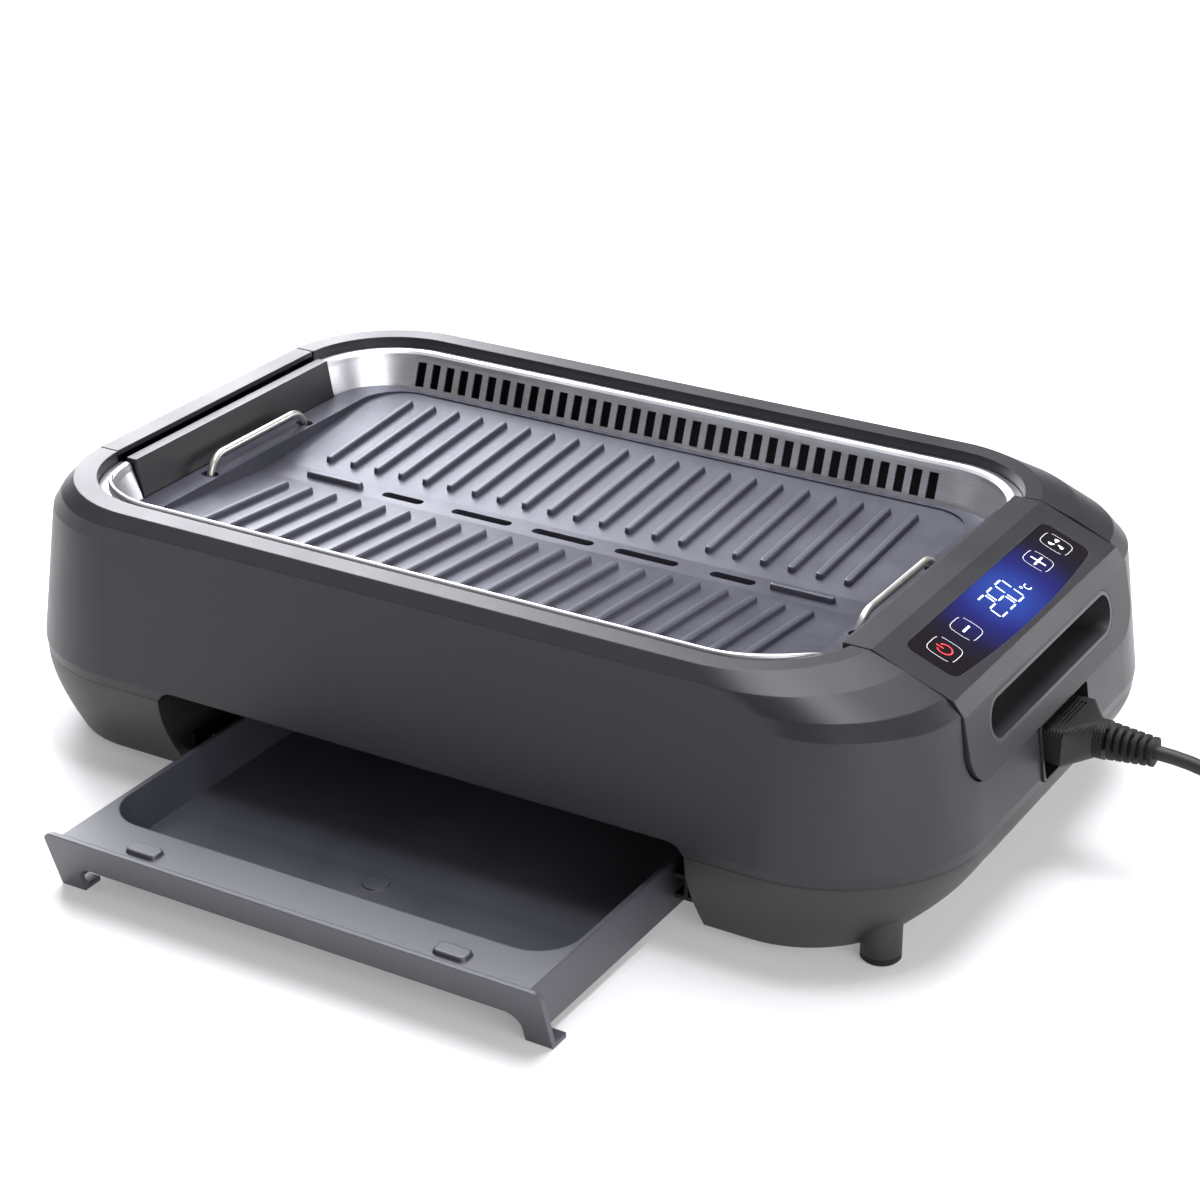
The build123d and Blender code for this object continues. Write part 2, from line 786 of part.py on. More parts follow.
def grill_plate():
    """Cast plate: end ledges, V-shaped field, ribs, drip slots and the bosses for the handles."""
    plate = slab(ring(ledge_under_z, plate_half_length, plate_half_length, plate_half_width, plate_radius),
                 plate_thickness)
    under_z = field_floor_z - plate_thickness
    tub_half = field_half_length + plate_rim_width
    tub = slab(ring(under_z, tub_half, tub_half, plate_half_width, plate_radius), ledge_z - under_z)
    plate += tub & along_x(field_section(plate_thickness, plate_half_width), -tub_half, tub_half)
    pocket = slab(ring(under_z, field_half_length, field_half_length, field_half_width, field_radius),
                  2 * field_depth + plate_thickness)
    plate -= pocket & along_x(field_section(0, field_half_width), -field_half_length, field_half_length)
    plate += plate_ribs()
    slots = []
    for index in range(-2, 3):
        x = index * drip_slot_pitch + drip_slot_shift
        length = drip_slot_end_length if abs(index) == 2 else drip_slot_length
        slot = Pos(x, 0, under_z - 1) * SlotOverall(length, drip_slot_width)
        slots.append(slab(slot, field_depth + plate_thickness))
    for side_x in (-1, 1):
        for side_y in (-1, 1):
            hole = SlotOverall(handle_hole_length, 2 * (wire_radius + handle_hole_gap))
            place = Pos(side_x * handle_x, side_y * handle_half_span, ledge_under_z - 20)
            slots.append(slab(place * hole, 40))
    plate -= slots
    for side_x in (-1, 1):
        for side_y in (-1, 1):
            plate += handle_boss(side_x, side_y)
    return plate


def wire_handle(side_x):
    """Wire bail whose two bent ends are pins in the plate's bosses."""
    x = side_x * handle_x
    pin_y = handle_half_span + handle_foot_radius + handle_pin_length
    points = [
        (x, -pin_y, handle_axis_z),
        (x, -handle_half_span, handle_axis_z),
        (x, -handle_half_span, handle_bar_z),
        (x, handle_half_span, handle_bar_z),
        (x, handle_half_span, handle_axis_z),
        (x, pin_y, handle_axis_z),
    ]
    bends = [handle_foot_radius, handle_corner_radius, handle_corner_radius, handle_foot_radius]
    path = FilletPolyline(*points, radius=bends)
    section = Plane(origin=path @ 0, z_dir=path % 0) * Circle(wire_radius)
    return sweep(section, path=path)


def heat_pan():
    """Sheet tub under the plate, with a flange for the plate's ends and an opening for the drippings."""
    top_z = ledge_under_z
    half_length = pan_end_x() - pan_sheet
    half_width = plate_half_width + pan_gap
    radius = plate_radius + pan_gap
    floor_top = pan_floor_z + pan_sheet
    top = (half_length, half_length, half_width, radius)
    low = (half_length - pan_draft, half_length - pan_draft, half_width - pan_draft, radius)
    grown = [(a + pan_sheet, b + pan_sheet, c + pan_sheet, d + pan_sheet) for a, b, c, d in (low, top)]
    outer = loft([ring(pan_floor_z, *grown[0]), ring(top_z, *grown[1])], ruled=True)
    hollow = loft([ring(floor_top, *low), ring(top_z, *top)], ruled=True)
    flange = slab(inner_ring(top_z - pan_sheet, pan_flange_gap) - ring(top_z - pan_sheet, *top), pan_sheet)
    pan = outer - hollow + flange
    opening = RectangleRounded(pan_opening_length, pan_opening_width, pan_opening_radius)
    pan -= slab(Pos(0, 0, pan_floor_z - 1) * opening, 5)
    for side in (-1, 1):
        hole = Pos(side * element_outer_y, element_z) * Circle(element_radius + 1.0)
        pan -= along_x(hole, half_length - 2 * pan_draft, half_length + 2 * pan_draft)
    return pan


def pan_end_x():
    """Outer face of the heat pan's end wall at its top."""
    return plate_half_length - pan_ledge_rest + pan_sheet


def heating_element():
    """Tubular element: four runs under the ribs, both ends out through the right wall of the pan."""
    end_x = pan_end_x() + element_reach
    turn = (element_outer_y - element_inner_y) / 2
    left = -element_turn_x
    path = (
        Line((end_x, -element_outer_y, element_z), (left, -element_outer_y, element_z))
        + ThreePointArc((left, -element_outer_y, element_z),
                        (left - turn, -element_inner_y - turn, element_z),
                        (left, -element_inner_y, element_z))
        + Line((left, -element_inner_y, element_z), (element_loop_x, -element_inner_y, element_z))
        + ThreePointArc((element_loop_x, -element_inner_y, element_z),
                        (element_loop_x + element_inner_y, 0, element_z),
                        (element_loop_x, element_inner_y, element_z))
        + Line((element_loop_x, element_inner_y, element_z), (left, element_inner_y, element_z))
        + ThreePointArc((left, element_inner_y, element_z), (left - turn, element_inner_y + turn, element_z),
                        (left, element_outer_y, element_z))
        + Line((left, element_outer_y, element_z), (end_x, element_outer_y, element_z))
    )
    section = Plane(origin=(end_x, -element_outer_y, element_z), z_dir=(-1, 0, 0)) * Circle(element_radius)
    tube = sweep(section, path=path)
    for side in (-1, 1):
        pin = Pos(side * element_outer_y, element_z) * Circle(terminal_radius)
        tube += along_x(pin, end_x - 1, end_x + terminal_length)
    return tube


def element_clips():
    """Saddle clips on the pan's floor that hold the element's runs."""
    clips = []
    for x in (-element_turn_x / 2, element_turn_x / 2):
        for y in (-element_outer_y, -element_inner_y, element_inner_y, element_outer_y):
            clip = block(x - clip_width / 2, x + clip_width / 2, y - clip_length / 2, y + clip_length / 2,
                         pan_floor_z + pan_sheet, element_z)
            bed = Pos(y, element_z) * Circle(element_radius + fit_gap)
            clips.append(clip - along_x(bed, x - clip_width, x + clip_width))
    return Compound(children=clips)


def temperature_probe():
    """Probe that stands on the pan and reaches up to the plate's underside."""
    top = field_floor_z - plate_thickness - fit_gap
    low = pan_floor_z + pan_sheet
    stem = column(probe_x, 0, low, top - probe_cap, probe_stem_radius)
    foot = column(probe_x, 0, low, low + probe_cap, probe_radius)
    return stem + foot + column(probe_x, 0, top - probe_cap, top, probe_radius)


def thermal_cutout():
    """Cut-out disc under the pan, beside the drawer bay."""
    x = pan_end_x() - cutout_inset
    disc = column(x, cutout_y, pan_floor_z - cutout_height, pan_floor_z, cutout_radius)
    for side in (-1, 1):
        disc += block(x - 2.5, x + 2.5, cutout_y + side * 5 - 0.5, cutout_y + side * 5 + 0.5,
                      pan_floor_z - cutout_height - 6, pan_floor_z - cutout_height)
    return disc


def inlet_socket():
    """Square recess for the appliance plug, flush with the end wall."""
    middle = Pos(inlet_y, inlet_z)
    outer = middle * RectangleRounded(2 * (inlet_half_width + inlet_wall),
                                      2 * (inlet_half_height + inlet_wall), inlet_corner + inlet_wall)
    inner = middle * RectangleRounded(2 * inlet_half_width, 2 * inlet_half_height, inlet_corner)
    back_x = end_wall_x(inlet_z) - inlet_depth
    low_z = inlet_z - inlet_half_height - inlet_wall - 1
    high_z = inlet_z + inlet_half_height + inlet_wall + 1
    region = along_y([(back_x - inlet_wall, low_z), (end_wall_x(low_z) + inlet_proud, low_z),
                      (end_wall_x(high_z) + inlet_proud, high_z), (back_x - inlet_wall, high_z)],
                     inlet_y - 2 * inlet_half_width, inlet_y + 2 * inlet_half_width)
    cup = along_x(outer, back_x - inlet_wall, belly_right + 20) & region
    cup -= along_x(inner, back_x, belly_right + 20)
    for side in (-1, 1):
        hole = Pos(inlet_y + side * pin_spacing / 2, inlet_z) * Circle(pin_radius + bore_gap)
        cup -= along_x(hole, back_x - inlet_wall - 1, back_x + 1)
    return cup


def inlet_pins():
    """Two round contact pins in the back of the inlet."""
    back_x = end_wall_x(inlet_z) - inlet_depth
    pins = []
    for side in (-1, 1):
        place = Pos(inlet_y + side * pin_spacing / 2, inlet_z) * Circle(pin_radius)
        pins.append(along_x(place, back_x - inlet_wall - 6, back_x + pin_length))
    return Compound(children=pins)


def plug_start_x():
    """Front face of the appliance plug, just clear of the inlet's back."""
    return end_wall_x(inlet_z) - inlet_depth + plug_nose_gap


def appliance_plug():
    """Moulded plug with bores for the pins, ribbed grips at its sides and a round collar."""
    x0 = plug_start_x()
    x1 = x0 + plug_length
    middle = Pos(inlet_y, inlet_z)
    wide = middle * RectangleRounded(2 * plug_half_width, 2 * plug_half_height, plug_corner)
    narrow = middle * RectangleRounded(2 * collar_radius, 2 * collar_radius, 0.95 * collar_radius)
    body = along_x(wide, x0, x1)
    tail = loft([Plane.YZ.offset(x1) * wide, Plane.YZ.offset(x1 + plug_taper) * narrow])
    collar = along_x(middle * Circle(collar_radius), x1 + plug_taper, relief_start_x())
    plug = body + tail + collar
    for side in (-1, 1):
        hole = Pos(inlet_y + side * pin_spacing / 2, inlet_z) * Circle(pin_radius + slide_gap)
        plug -= along_x(hole, x0 - 1, x0 + pin_length + 1)
    for index in range(grip_ribs):
        x = x1 - 2 - index * 2.0
        for side in (-1, 1):
            z = inlet_z + side * plug_half_height
            plug -= block(x - 0.5, x + 0.5, inlet_y - 0.6 * plug_half_width, inlet_y + 0.6 * plug_half_width,
                          z - grip_rib_depth, z + grip_rib_depth)
    return plug


def relief_start_x():
    """Where the strain relief leaves the plug's collar."""
    return plug_start_x() + plug_length + plug_taper + collar_length


def plug_strain_relief():
    """Ribbed sleeve between the plug and the cord."""
    x0 = relief_start_x()
    core = along_x(Pos(inlet_y, inlet_z) * Circle(relief_core_radius), x0, x0 + relief_ribs * relief_pitch)
    for index in range(relief_ribs):
        share = index / (relief_ribs - 1)
        radius = relief_radius + (relief_end_radius - relief_radius) * share
        x = x0 + index * relief_pitch + relief_pitch / 2
        core += along_x(Pos(inlet_y, inlet_z) * Circle(radius), x, x + relief_pitch / 2)
    return core


def cord_start_x():
    """Where the cord leaves its strain relief."""
    return relief_start_x() + relief_ribs * relief_pitch


def cord_tube(points):
    """Round cord along straight runs joined by tangent arcs."""
    radii = []
    vectors = [Vector(*point) for point in points]
    for before, here, after in zip(vectors[:-2], vectors[1:-1], vectors[2:]):
        turn = math.radians((here - before).get_angle(after - here))
        shorter = min((here - before).length, (after - here).length)
        radii.append(0.45 * shorter / math.tan(turn / 2))
    path = FilletPolyline(*points, radius=radii)
    section = Plane(origin=path @ 0, z_dir=path % 0) * Circle(cord_radius)
    tube = sweep(section, path=path)
    plain = math.pi * cord_radius ** 2 * path.length
    print("cord bends", [round(r, 1) for r in radii], "length", round(path.length, 1),
          "volume share", round(tube.volume / plain, 4))
    return tube


def cord_points():
    """Route of the cord from the plug down to the coil on the floor."""
    end_x = coil_x + coil_radius
    return [
        (cord_start_x(), inlet_y, inlet_z),
        (cord_start_x() + 37.0, inlet_y, inlet_z),
        (392.0, 12.0, 28.0),
        (428.0, 30.0, coil_z),
        (end_x, 62.0, coil_z),
        (end_x, coil_y, coil_z),
    ]


def tail_points():
    """Route of the cord from the coil to the mains plug."""
    end_x = coil_x + coil_radius
    top_z = coil_z + coil_turns * coil_pitch
    return [
        (end_x, coil_y, top_z),
        (end_x, coil_y + 42.0, top_z),
        (end_x - 4.0, coil_y + 84.0, mains_z),
        (end_x - 13.0, coil_y + 124.0, mains_z),
    ]


def coil_frames():
    """Places and headings of the coil at each quarter turn, level at both ends."""
    frames = []
    quarters = 4 * coil_turns
    for index in range(quarters + 1):
        angle = index * math.pi / 2
        climb = 0.0 if index in (0, quarters) else coil_pitch / (2 * math.pi * coil_radius)
        place = Vector(coil_x + coil_radius * math.cos(angle), coil_y + coil_radius * math.sin(angle),
                       coil_z + coil_pitch * index / 4)
        heading = Vector(-math.sin(angle), math.cos(angle), climb).normalized()
        frames.append((place, heading))
    return frames


def biarc(start, start_way, end, end_way):
    """Two tangent arcs between two places with given headings."""
    gap = end - start
    ways = start_way + end_way
    spread = 2 * (1 - start_way.dot(end_way))
    along = gap.dot(ways)
    arm = (math.sqrt(along ** 2 + spread * gap.dot(gap)) - along) / spread
    middle = (start + end + (start_way - end_way) * arm) * 0.5
    middle_way = (end - end_way * arm - start - start_way * arm).normalized()
    return [TangentArc(start, middle, tangent=start_way), TangentArc(middle, end, tangent=middle_way)]


def cord_coil():
    """The unseen length of cord, wound in level turns as one tube."""
    frames = coil_frames()
    edges = []
    for (place, way), (next_place, next_way) in zip(frames[:-1], frames[1:]):
        edges += biarc(place, way, next_place, next_way)
    path = Wire(edges)
    points = [path @ (index / 720) for index in range(721)]
    gap = min((points[i] - points[j]).length for i in range(0, 721, 4) for j in range(i + 120, 721, 2))
    print("coil length", round(path.length, 1), "least gap to itself", round(gap - 2 * cord_radius, 2))
    section = Plane(origin=path @ 0, z_dir=path % 0) * Circle(cord_radius)
    return sweep(section, path=path)


def coil_tie():
    """Strap round all turns of the coil, on the side away from its ends."""
    x = coil_x - coil_radius
    low = coil_z + coil_pitch / 2 - cord_radius - fit_gap
    high = coil_z + coil_pitch * (coil_turns - 0.5) + cord_radius + fit_gap
    half = cord_radius + 1.2
    strap = block(x - half - tie_wall, x + half + tie_wall, coil_y - tie_width / 2, coil_y + tie_width / 2,
                  low - tie_wall, high + tie_wall)
    return strap - block(x - half, x + half, coil_y - tie_width, coil_y + tie_width, low, high)


def mains_frame():
    """Plane at the end of the cord's tail, facing along it."""
    points = [Vector(*point) for point in tail_points()]
    way = (points[-1] - points[-2]).normalized()
    return Plane(origin=points[-1], x_dir=(0, 0, 1), z_dir=way)


def mains_plug():
    """Round moulded mains plug, tapering to the cord."""
    plane = mains_frame()
    waist = plane.offset(0.4 * mains_length) * Circle(0.8 * mains_radius)
    shoulder = plane.offset(0.55 * mains_length) * Circle(mains_radius)
    neck = loft([plane * Circle(cord_radius + 2.0), waist])
    body = loft([waist, shoulder])
    face = extrude(shoulder, 0.45 * mains_length)
    plug = neck + body + face
    for side in (-1, 1):
        place = plane.offset(mains_length - 6) * Pos(0, side * mains_pin_spacing / 2)
        plug -= extrude(place * Circle(mains_pin_radius + bore_gap), 10)
    return plug


def mains_pins():
    """Two round mains pins seated in the plug's face."""
    plane = mains_frame()
    pins = []
    for side in (-1, 1):
        place = plane.offset(mains_length - 6) * Pos(0, side * mains_pin_spacing / 2)
        pins.append(extrude(place * Circle(mains_pin_radius), mains_pin_length + 6))
    return Compound(children=pins)


def fascia_closed_y():
    """Front of the drawer's lip when the drawer is shut."""
    return -(belly_half_width + fascia_reveal)


def along_tray(points, half):
    """Closed outline of (y, z) points, pushed to both sides of the tray's middle."""
    return along_x(make_face(Polyline(*points, close=True)), tray_x - half, tray_x + half)


def tray_front(front_y):
    """Leaning front panel with rounded top corners, an arch below for the fingers and a foot at each end."""
    lip_z = tray_top_z + fascia_lip
    low_y = front_y + fascia_lean
    panel = along_tray([(front_y, lip_z), (low_y, fit_gap), (low_y + fascia_thickness, fit_gap),
                        (front_y + fascia_thickness, lip_z)], fascia_half)
    corners = [edge for edge in panel.edges().filter_by(Axis.Y) if edge.center().Z > tray_top_z]
    panel = fillet(corners, fascia_corner)
    arch_half = fascia_half - fascia_leg_width
    arch = Pos(tray_x, 0) * RectangleRounded(2 * arch_half, 2 * (lip_z - fascia_height), fascia_arch_radius)
    panel -= extrude(Plane.XZ.offset(-front_y + fascia_lean) * arch, 4 * fascia_lean, dir=(0, 1, 0))
    for side in (-1, 1):
        outer = tray_x + side * fascia_half
        inner = tray_x + side * (fascia_half - fascia_leg_width)
        panel += block(min(outer, inner), max(outer, inner), low_y, low_y + fascia_foot_length,
                       fit_gap, fit_gap + fascia_foot_thickness)
    return panel


def tray_front_y():
    """Front edge of the drip tray as it stands, part way out."""
    return fascia_closed_y() - tray_out


def drip_tray():
    """Drip tray: front panel, thin ledge behind it, drafted basin, slide lugs at the back."""
    front_y = tray_front_y()
    back_y = front_y + tray_depth
    low_y = front_y + fascia_lean
    basin_front = front_y + tray_ledge
    basin_back = back_y - tray_wall
    tray = along_tray([(front_y + 1, tray_top_z), (low_y, tray_bottom_z), (back_y, tray_bottom_z),
                       (back_y, tray_top_z)], tray_half)
    ledge_z = tray_top_z - tray_ledge_thickness
    inner_half = tray_half - tray_wall
    tray -= along_tray([(front_y + fascia_thickness, ledge_z), (low_y + fascia_thickness, 0),
                        (basin_front - tray_wall, 0), (basin_front - tray_wall, ledge_z)], inner_half)
    tray -= along_tray([(front_y - 1, tray_bottom_z - 1), (front_y - 1, lip_under()),
                        (low_y + fascia_thickness, lip_under()),
                        (low_y + fascia_thickness, tray_bottom_z - 1)], inner_half)
    tray += tray_front(front_y)
    basin = RectangleRounded(2 * inner_half, basin_back - basin_front, tray_basin_radius)
    basin = Pos(tray_x, (basin_front + basin_back) / 2, tray_top_z) * basin
    floor_z = tray_bottom_z + tray_floor
    tray -= extrude(basin, tray_top_z - floor_z, dir=(0, 0, -1), taper=tray_basin_draft)
    tray += column(tray_x, front_y + dimple_inset, floor_z - 1, floor_z + dimple_height, dimple_radius)
    for side in (-1, 1):
        bump = Pos(tray_x + side * (tray_half - bump_side_inset), front_y + bump_inset, tray_top_z - 0.2)
        bump = bump * RectangleRounded(bump_length, bump_width, bump_radius)
        bump = extrude(bump, bump_height + 0.2, taper=15)
        tray += fillet(bump.faces().sort_by(Axis.Z)[-1].edges(), bump_round)
        inner = tray_x + side * (tray_half - 1)
        outer = tray_x + side * (tray_half + lug_width)
        tray += block(min(inner, outer), max(inner, outer), back_y - lug_length, back_y,
                      lug_bottom_z, lug_bottom_z + lug_height)
    return tray


def lip_under():
    """Lower edge of the front panel between its feet."""
    return tray_top_z + fascia_lip - fascia_height


def drawer_runner(side):
    """Channel rail fixed to the wall of the drawer bay, in which the tray's lug slides."""
    wall = side * ((bay_right_x if side > 0 else bay_left_x) - tray_x)
    u0 = tray_half + runner_gap
    u1 = tray_half + lug_width + slide_gap
    low = lug_bottom_z - fit_gap
    high = lug_bottom_z + lug_height + slide_gap
    points = [
        (u0, low - runner_sheet),
        (wall, low - runner_sheet),
        (wall, low + runner_flange),
        (wall - runner_sheet, low + runner_flange),
        (wall - runner_sheet, low),
        (u1 + runner_sheet, low),
        (u1 + runner_sheet, high + runner_sheet),
        (u0, high + runner_sheet),
        (u0, high),
        (u1, high),
        (u1, low),
        (u0, low),
    ]
    placed = [(tray_x + side * u, z) for u, z in points]
    return along_y(placed, -belly_half_width + base_inset + runner_setback, bay_back)


def fan_motor():
    """Fan motor on the base's floor with a bore for its shaft."""
    top = base_inner_floor_z + motor_height
    can = column(fan_x, fan_y, base_inner_floor_z, top, motor_radius)
    return can - column(fan_x, fan_y, top - shaft_socket, top + 1, shaft_radius + bore_gap)


def fan_shaft():
    """Steel shaft from the motor to the impeller's hub."""
    low = base_inner_floor_z + motor_height - shaft_socket + fit_gap
    return column(fan_x, fan_y, low, low + shaft_length, shaft_radius)


def fan_impeller():
    """Centrifugal impeller: hub, back plate and swept blades."""
    low = base_inner_floor_z + motor_height + impeller_lift
    wheel = column(fan_x, fan_y, low, low + impeller_plate, impeller_radius)
    wheel += column(fan_x, fan_y, low, low + impeller_height, hub_radius)
    span = impeller_radius - impeller_eye
    blade = Pos(impeller_eye + span / 2, 0, low + impeller_height / 2) * Rot(0, 0, blade_sweep) * Box(
        span, blade_thickness, impeller_height)
    for index in range(impeller_blades):
        wheel += Pos(fan_x, fan_y, 0) * Rot(0, 0, index * 360 / impeller_blades) * blade
    return wheel - column(fan_x, fan_y, low - 1, low + impeller_height + 1, shaft_radius + bore_gap / 2)


def fan_casing():
    """Round casing with an eye above the impeller and a duct to the slots in the back wall."""
    top = base_inner_floor_z + motor_height + impeller_lift + impeller_height + casing_top_gap
    duct_end = belly_half_width - base_inset - duct_end_gap
    outer_radius = casing_radius + casing_wall
    duct_top = split_z - 6
    case = column(fan_x, fan_y, casing_z, top + casing_wall, outer_radius)
    case += block(duct_x - duct_half_width - casing_wall, duct_x + duct_half_width + casing_wall,
                  fan_y, duct_end, casing_z, duct_top + casing_wall)
    case -= column(fan_x, fan_y, casing_z - 1, top, casing_radius)
    case -= block(duct_x - duct_half_width, duct_x + duct_half_width, fan_y, duct_end + 1,
                  casing_z - 1, duct_top)
    return case - column(fan_x, fan_y, top - 1, top + 5, casing_eye_radius)


def power_board():
    """Power board on posts beside the drawer bay, with two relays."""
    z = base_inner_floor_z + power_lift
    x = power_x
    board = block(x - power_width / 2, x + power_width / 2, -power_length / 2, power_length / 2,
                  z, z + board_thickness)
    for y in (-relay_size, relay_size):
        board += block(x - relay_size / 2, x + relay_size / 2, y - relay_size / 2, y + relay_size / 2,
                       z + board_thickness, z + board_thickness + relay_size)
    return board


nodes = {
    "upper_housing": upper_housing(),
    "base_shell": base_shell(),
    "rubber_feet": rubber_feet(),
    "foot_screws": foot_screws(),
    "control_saddle": control_saddle(),
    "touch_glass": touch_glass(),
    "control_board": control_board(),
    "right_hand_cup": hand_cup(saddle_path),
    "left_end_cover": mirror(end_cover(cover_path, cover_half, cover_sheet), Plane.YZ),
    "left_hand_cup": mirror(hand_cup(cover_path), Plane.YZ),
    "right_end_block": end_block(rim_z - saddle_sheet - slide_gap),
    "left_end_block": mirror(end_block(rim_z - end_block_drop), Plane.YZ),
    "rear_liner": liner(1),
    "front_liner": liner(-1),
    "grill_plate": grill_plate(),
    "left_wire_handle": wire_handle(-1),
    "right_wire_handle": wire_handle(1),
    "heat_pan": heat_pan(),
    "heating_element": heating_element(),
    "element_clips": element_clips(),
    "temperature_probe": temperature_probe(),
    "thermal_cutout": thermal_cutout(),
    "inlet_socket": inlet_socket(),
    "inlet_pins": inlet_pins(),
    "appliance_plug": appliance_plug(),
    "plug_strain_relief": plug_strain_relief(),
    "supply_cord": cord_tube(cord_points()),
    "cord_coil": cord_coil(),
    "coil_tie": coil_tie(),
    "cord_tail": cord_tube(tail_points()),
    "mains_plug": mains_plug(),
    "mains_pins": mains_pins(),
    "drip_tray": drip_tray(),
    "left_drawer_runner": drawer_runner(-1),
    "right_drawer_runner": drawer_runner(1),
    "fan_motor": fan_motor(),
    "fan_shaft": fan_shaft(),
    "fan_impeller": fan_impeller(),
    "fan_casing": fan_casing(),
    "power_board": power_board(),
}

# The frame's origin lies on the table under the middle of the grill and its open drawer
frame_x = (belly_right - belly_left) / 2
frame_y = (belly_half_width + tray_front_y()) / 2

os.makedirs("parts", exist_ok=True)
for name, shape in nodes.items():
    solids = [solid.moved(Location((-frame_x, -frame_y, 0))) for solid in shape.solids()]
    export_step(Compound(children=solids) if len(solids) > 1 else solids[0], f"parts/{name}.step")
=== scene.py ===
"""Looks of the smokeless electric grill, dressed round its CAD solids in one shared frame, in metres."""
import json
import math

import bmesh
import bpy
import numpy as np
from mathutils import Matrix, Vector


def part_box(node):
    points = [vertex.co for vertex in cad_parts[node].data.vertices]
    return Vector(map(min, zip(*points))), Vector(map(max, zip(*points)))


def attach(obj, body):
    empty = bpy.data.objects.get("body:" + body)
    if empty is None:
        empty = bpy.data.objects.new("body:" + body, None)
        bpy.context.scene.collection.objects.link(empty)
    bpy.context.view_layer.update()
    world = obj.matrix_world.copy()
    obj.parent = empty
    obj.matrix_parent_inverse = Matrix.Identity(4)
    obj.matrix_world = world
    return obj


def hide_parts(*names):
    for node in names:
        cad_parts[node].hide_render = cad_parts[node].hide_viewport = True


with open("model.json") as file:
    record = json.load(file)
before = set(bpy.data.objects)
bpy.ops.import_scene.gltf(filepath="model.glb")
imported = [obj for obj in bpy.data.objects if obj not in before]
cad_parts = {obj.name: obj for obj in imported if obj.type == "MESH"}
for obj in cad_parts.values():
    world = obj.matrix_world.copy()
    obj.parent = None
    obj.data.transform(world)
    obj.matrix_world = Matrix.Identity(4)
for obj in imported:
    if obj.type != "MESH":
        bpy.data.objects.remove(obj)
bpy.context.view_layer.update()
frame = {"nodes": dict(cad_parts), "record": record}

nodes = frame["nodes"]

# Places below are measured from the point on the table under the grill plate's centre
plate_centre = np.array((-0.0150, 0.0525, 0.0))

# Supply lead: the route from the plug's strain relief, the tied coil and the tail to the mains plug
lead_diameter = 0.0072
lead_start = [
    (0.31974, 0.010, 0.0682),
    (0.35674, 0.010, 0.0682),
    (0.3920, 0.012, 0.0280),
    (0.4280, 0.030, 0.0054),
    (0.4432, 0.062, 0.0054),
]
coil_centre = (0.400, 0.110)
coil_radius = 0.0432
coil_turns = 3
coil_low = 0.0054
coil_pitch = 0.0079
coil_steps = 16
lead_end = [
    (0.4432, 0.152, 0.0291),
    (0.4392, 0.194, 0.0133),
    (0.4302, 0.234, 0.0133),
]

# Rolled edge of the front liner: inset from its outer edge, corner radius and sweep, half sizes, fade, points
roll_inset = 0.0052
roll_radius = 0.0500
roll_sweep = math.radians(64.0)
roll_half_width = 0.0016
roll_half_height = 0.0022
roll_fade = 0.035
roll_corner_points = 24
roll_front_points = 40
roll_round_points = 17

# Split between the upper housing and the base: its height, and the depths where its shadow line fades
split_height = 0.052
shadow_gone = 0.0016
shadow_full = 0.0008

# Touch panel: the slope's crest, its fall towards +X, and how far the print stands on the glass
slope_crest = plate_centre + (0.2211, 0.0, 0.1420)
slope_angle = math.radians(21.0)
print_lift = 0.00012

# Blue light behind the glass: its middle, its reach along each axis, and its colours from outside in
panel_light_middle = plate_centre + (0.2425, 0.003, 0.1338)
panel_light_reach = np.array((0.056, 0.066, 0.056))
panel_light_steps = (
    (0.0, (0.004, 0.003, 0.005, 1.0)),
    (0.22, (0.006, 0.005, 0.030, 1.0)),
    (0.55, (0.012, 0.018, 0.210, 1.0)),
    (1.0, (0.030, 0.100, 0.560, 1.0)),
)

# Figures on the display, in millimetres across and down the slope. A segment runs between two corners,
# each named by its side (left, right) and its row (top, middle, bottom)
segment_ends = {
    "A": ("lt", "rt"), "B": ("rt", "rm"), "C": ("rm", "rb"), "D": ("lb", "rb"),
    "E": ("lm", "lb"), "F": ("lt", "lm"), "G": ("lm", "rm"),
}
figures_lit = ("ABGED", "AFGCD", "ABCDEF")
figure_left = -15.9
figure_step = 9.6
figure_top = 16.1
figure_wide = 7.4
figure_tall = 13.9
figure_stroke = 0.9
figure_lean = 1.4
figure_gap = 0.6
segment_tip = 0.02
degree_ring = {"centre": (15.9, 25.6), "radius": 0.75, "start": 0, "end": 360, "width": 0.35, "points": 20}
degree_letter = {"centre": (19.6, 27.6), "radius": 1.8, "start": 50, "end": 310, "width": 0.55, "points": 28}

# Key outlines in the same millimetres: centre and half sizes, then what they share
power_key = ((-64.5, 22.8), 7.6, 7.4)
minus_key = ((-40.5, 22.6), 7.0, 6.9)
plus_key = ((45.0, 21.8), 6.8, 6.9)
fan_key = ((67.8, 21.6), 6.6, 7.6)
outline_stroke = 0.31
outline_starts = (-30.0, 150.0)
outline_sweep = 150.0
outline_power = 0.5
outline_points = 48

# Key symbols: reach to each side of the centre and stroke width, the fan's blades and the power mark
minus_reach = (3.5, 0.0)
minus_stroke = 1.1
plus_reaches = ((4.7, 0.0), (0.0, 4.3))
plus_stroke = 1.05
blade_aims = (90.0, 210.0, 330.0)
blade_reach = 4.4
blade_spread = 23.0
blade_root = 0.22
blade_taper = 0.85
blade_trail = 18.0
blade_bow = 0.10
blade_points = 9
power_ring = {"centre": (-64.5, 22.9), "radius": 3.7, "start": -58, "end": 238, "width": 0.7, "points": 40}
power_stem = (-64.5, 20.2)
power_stem_reach = (0.0, 2.0)
power_stroke = 0.7

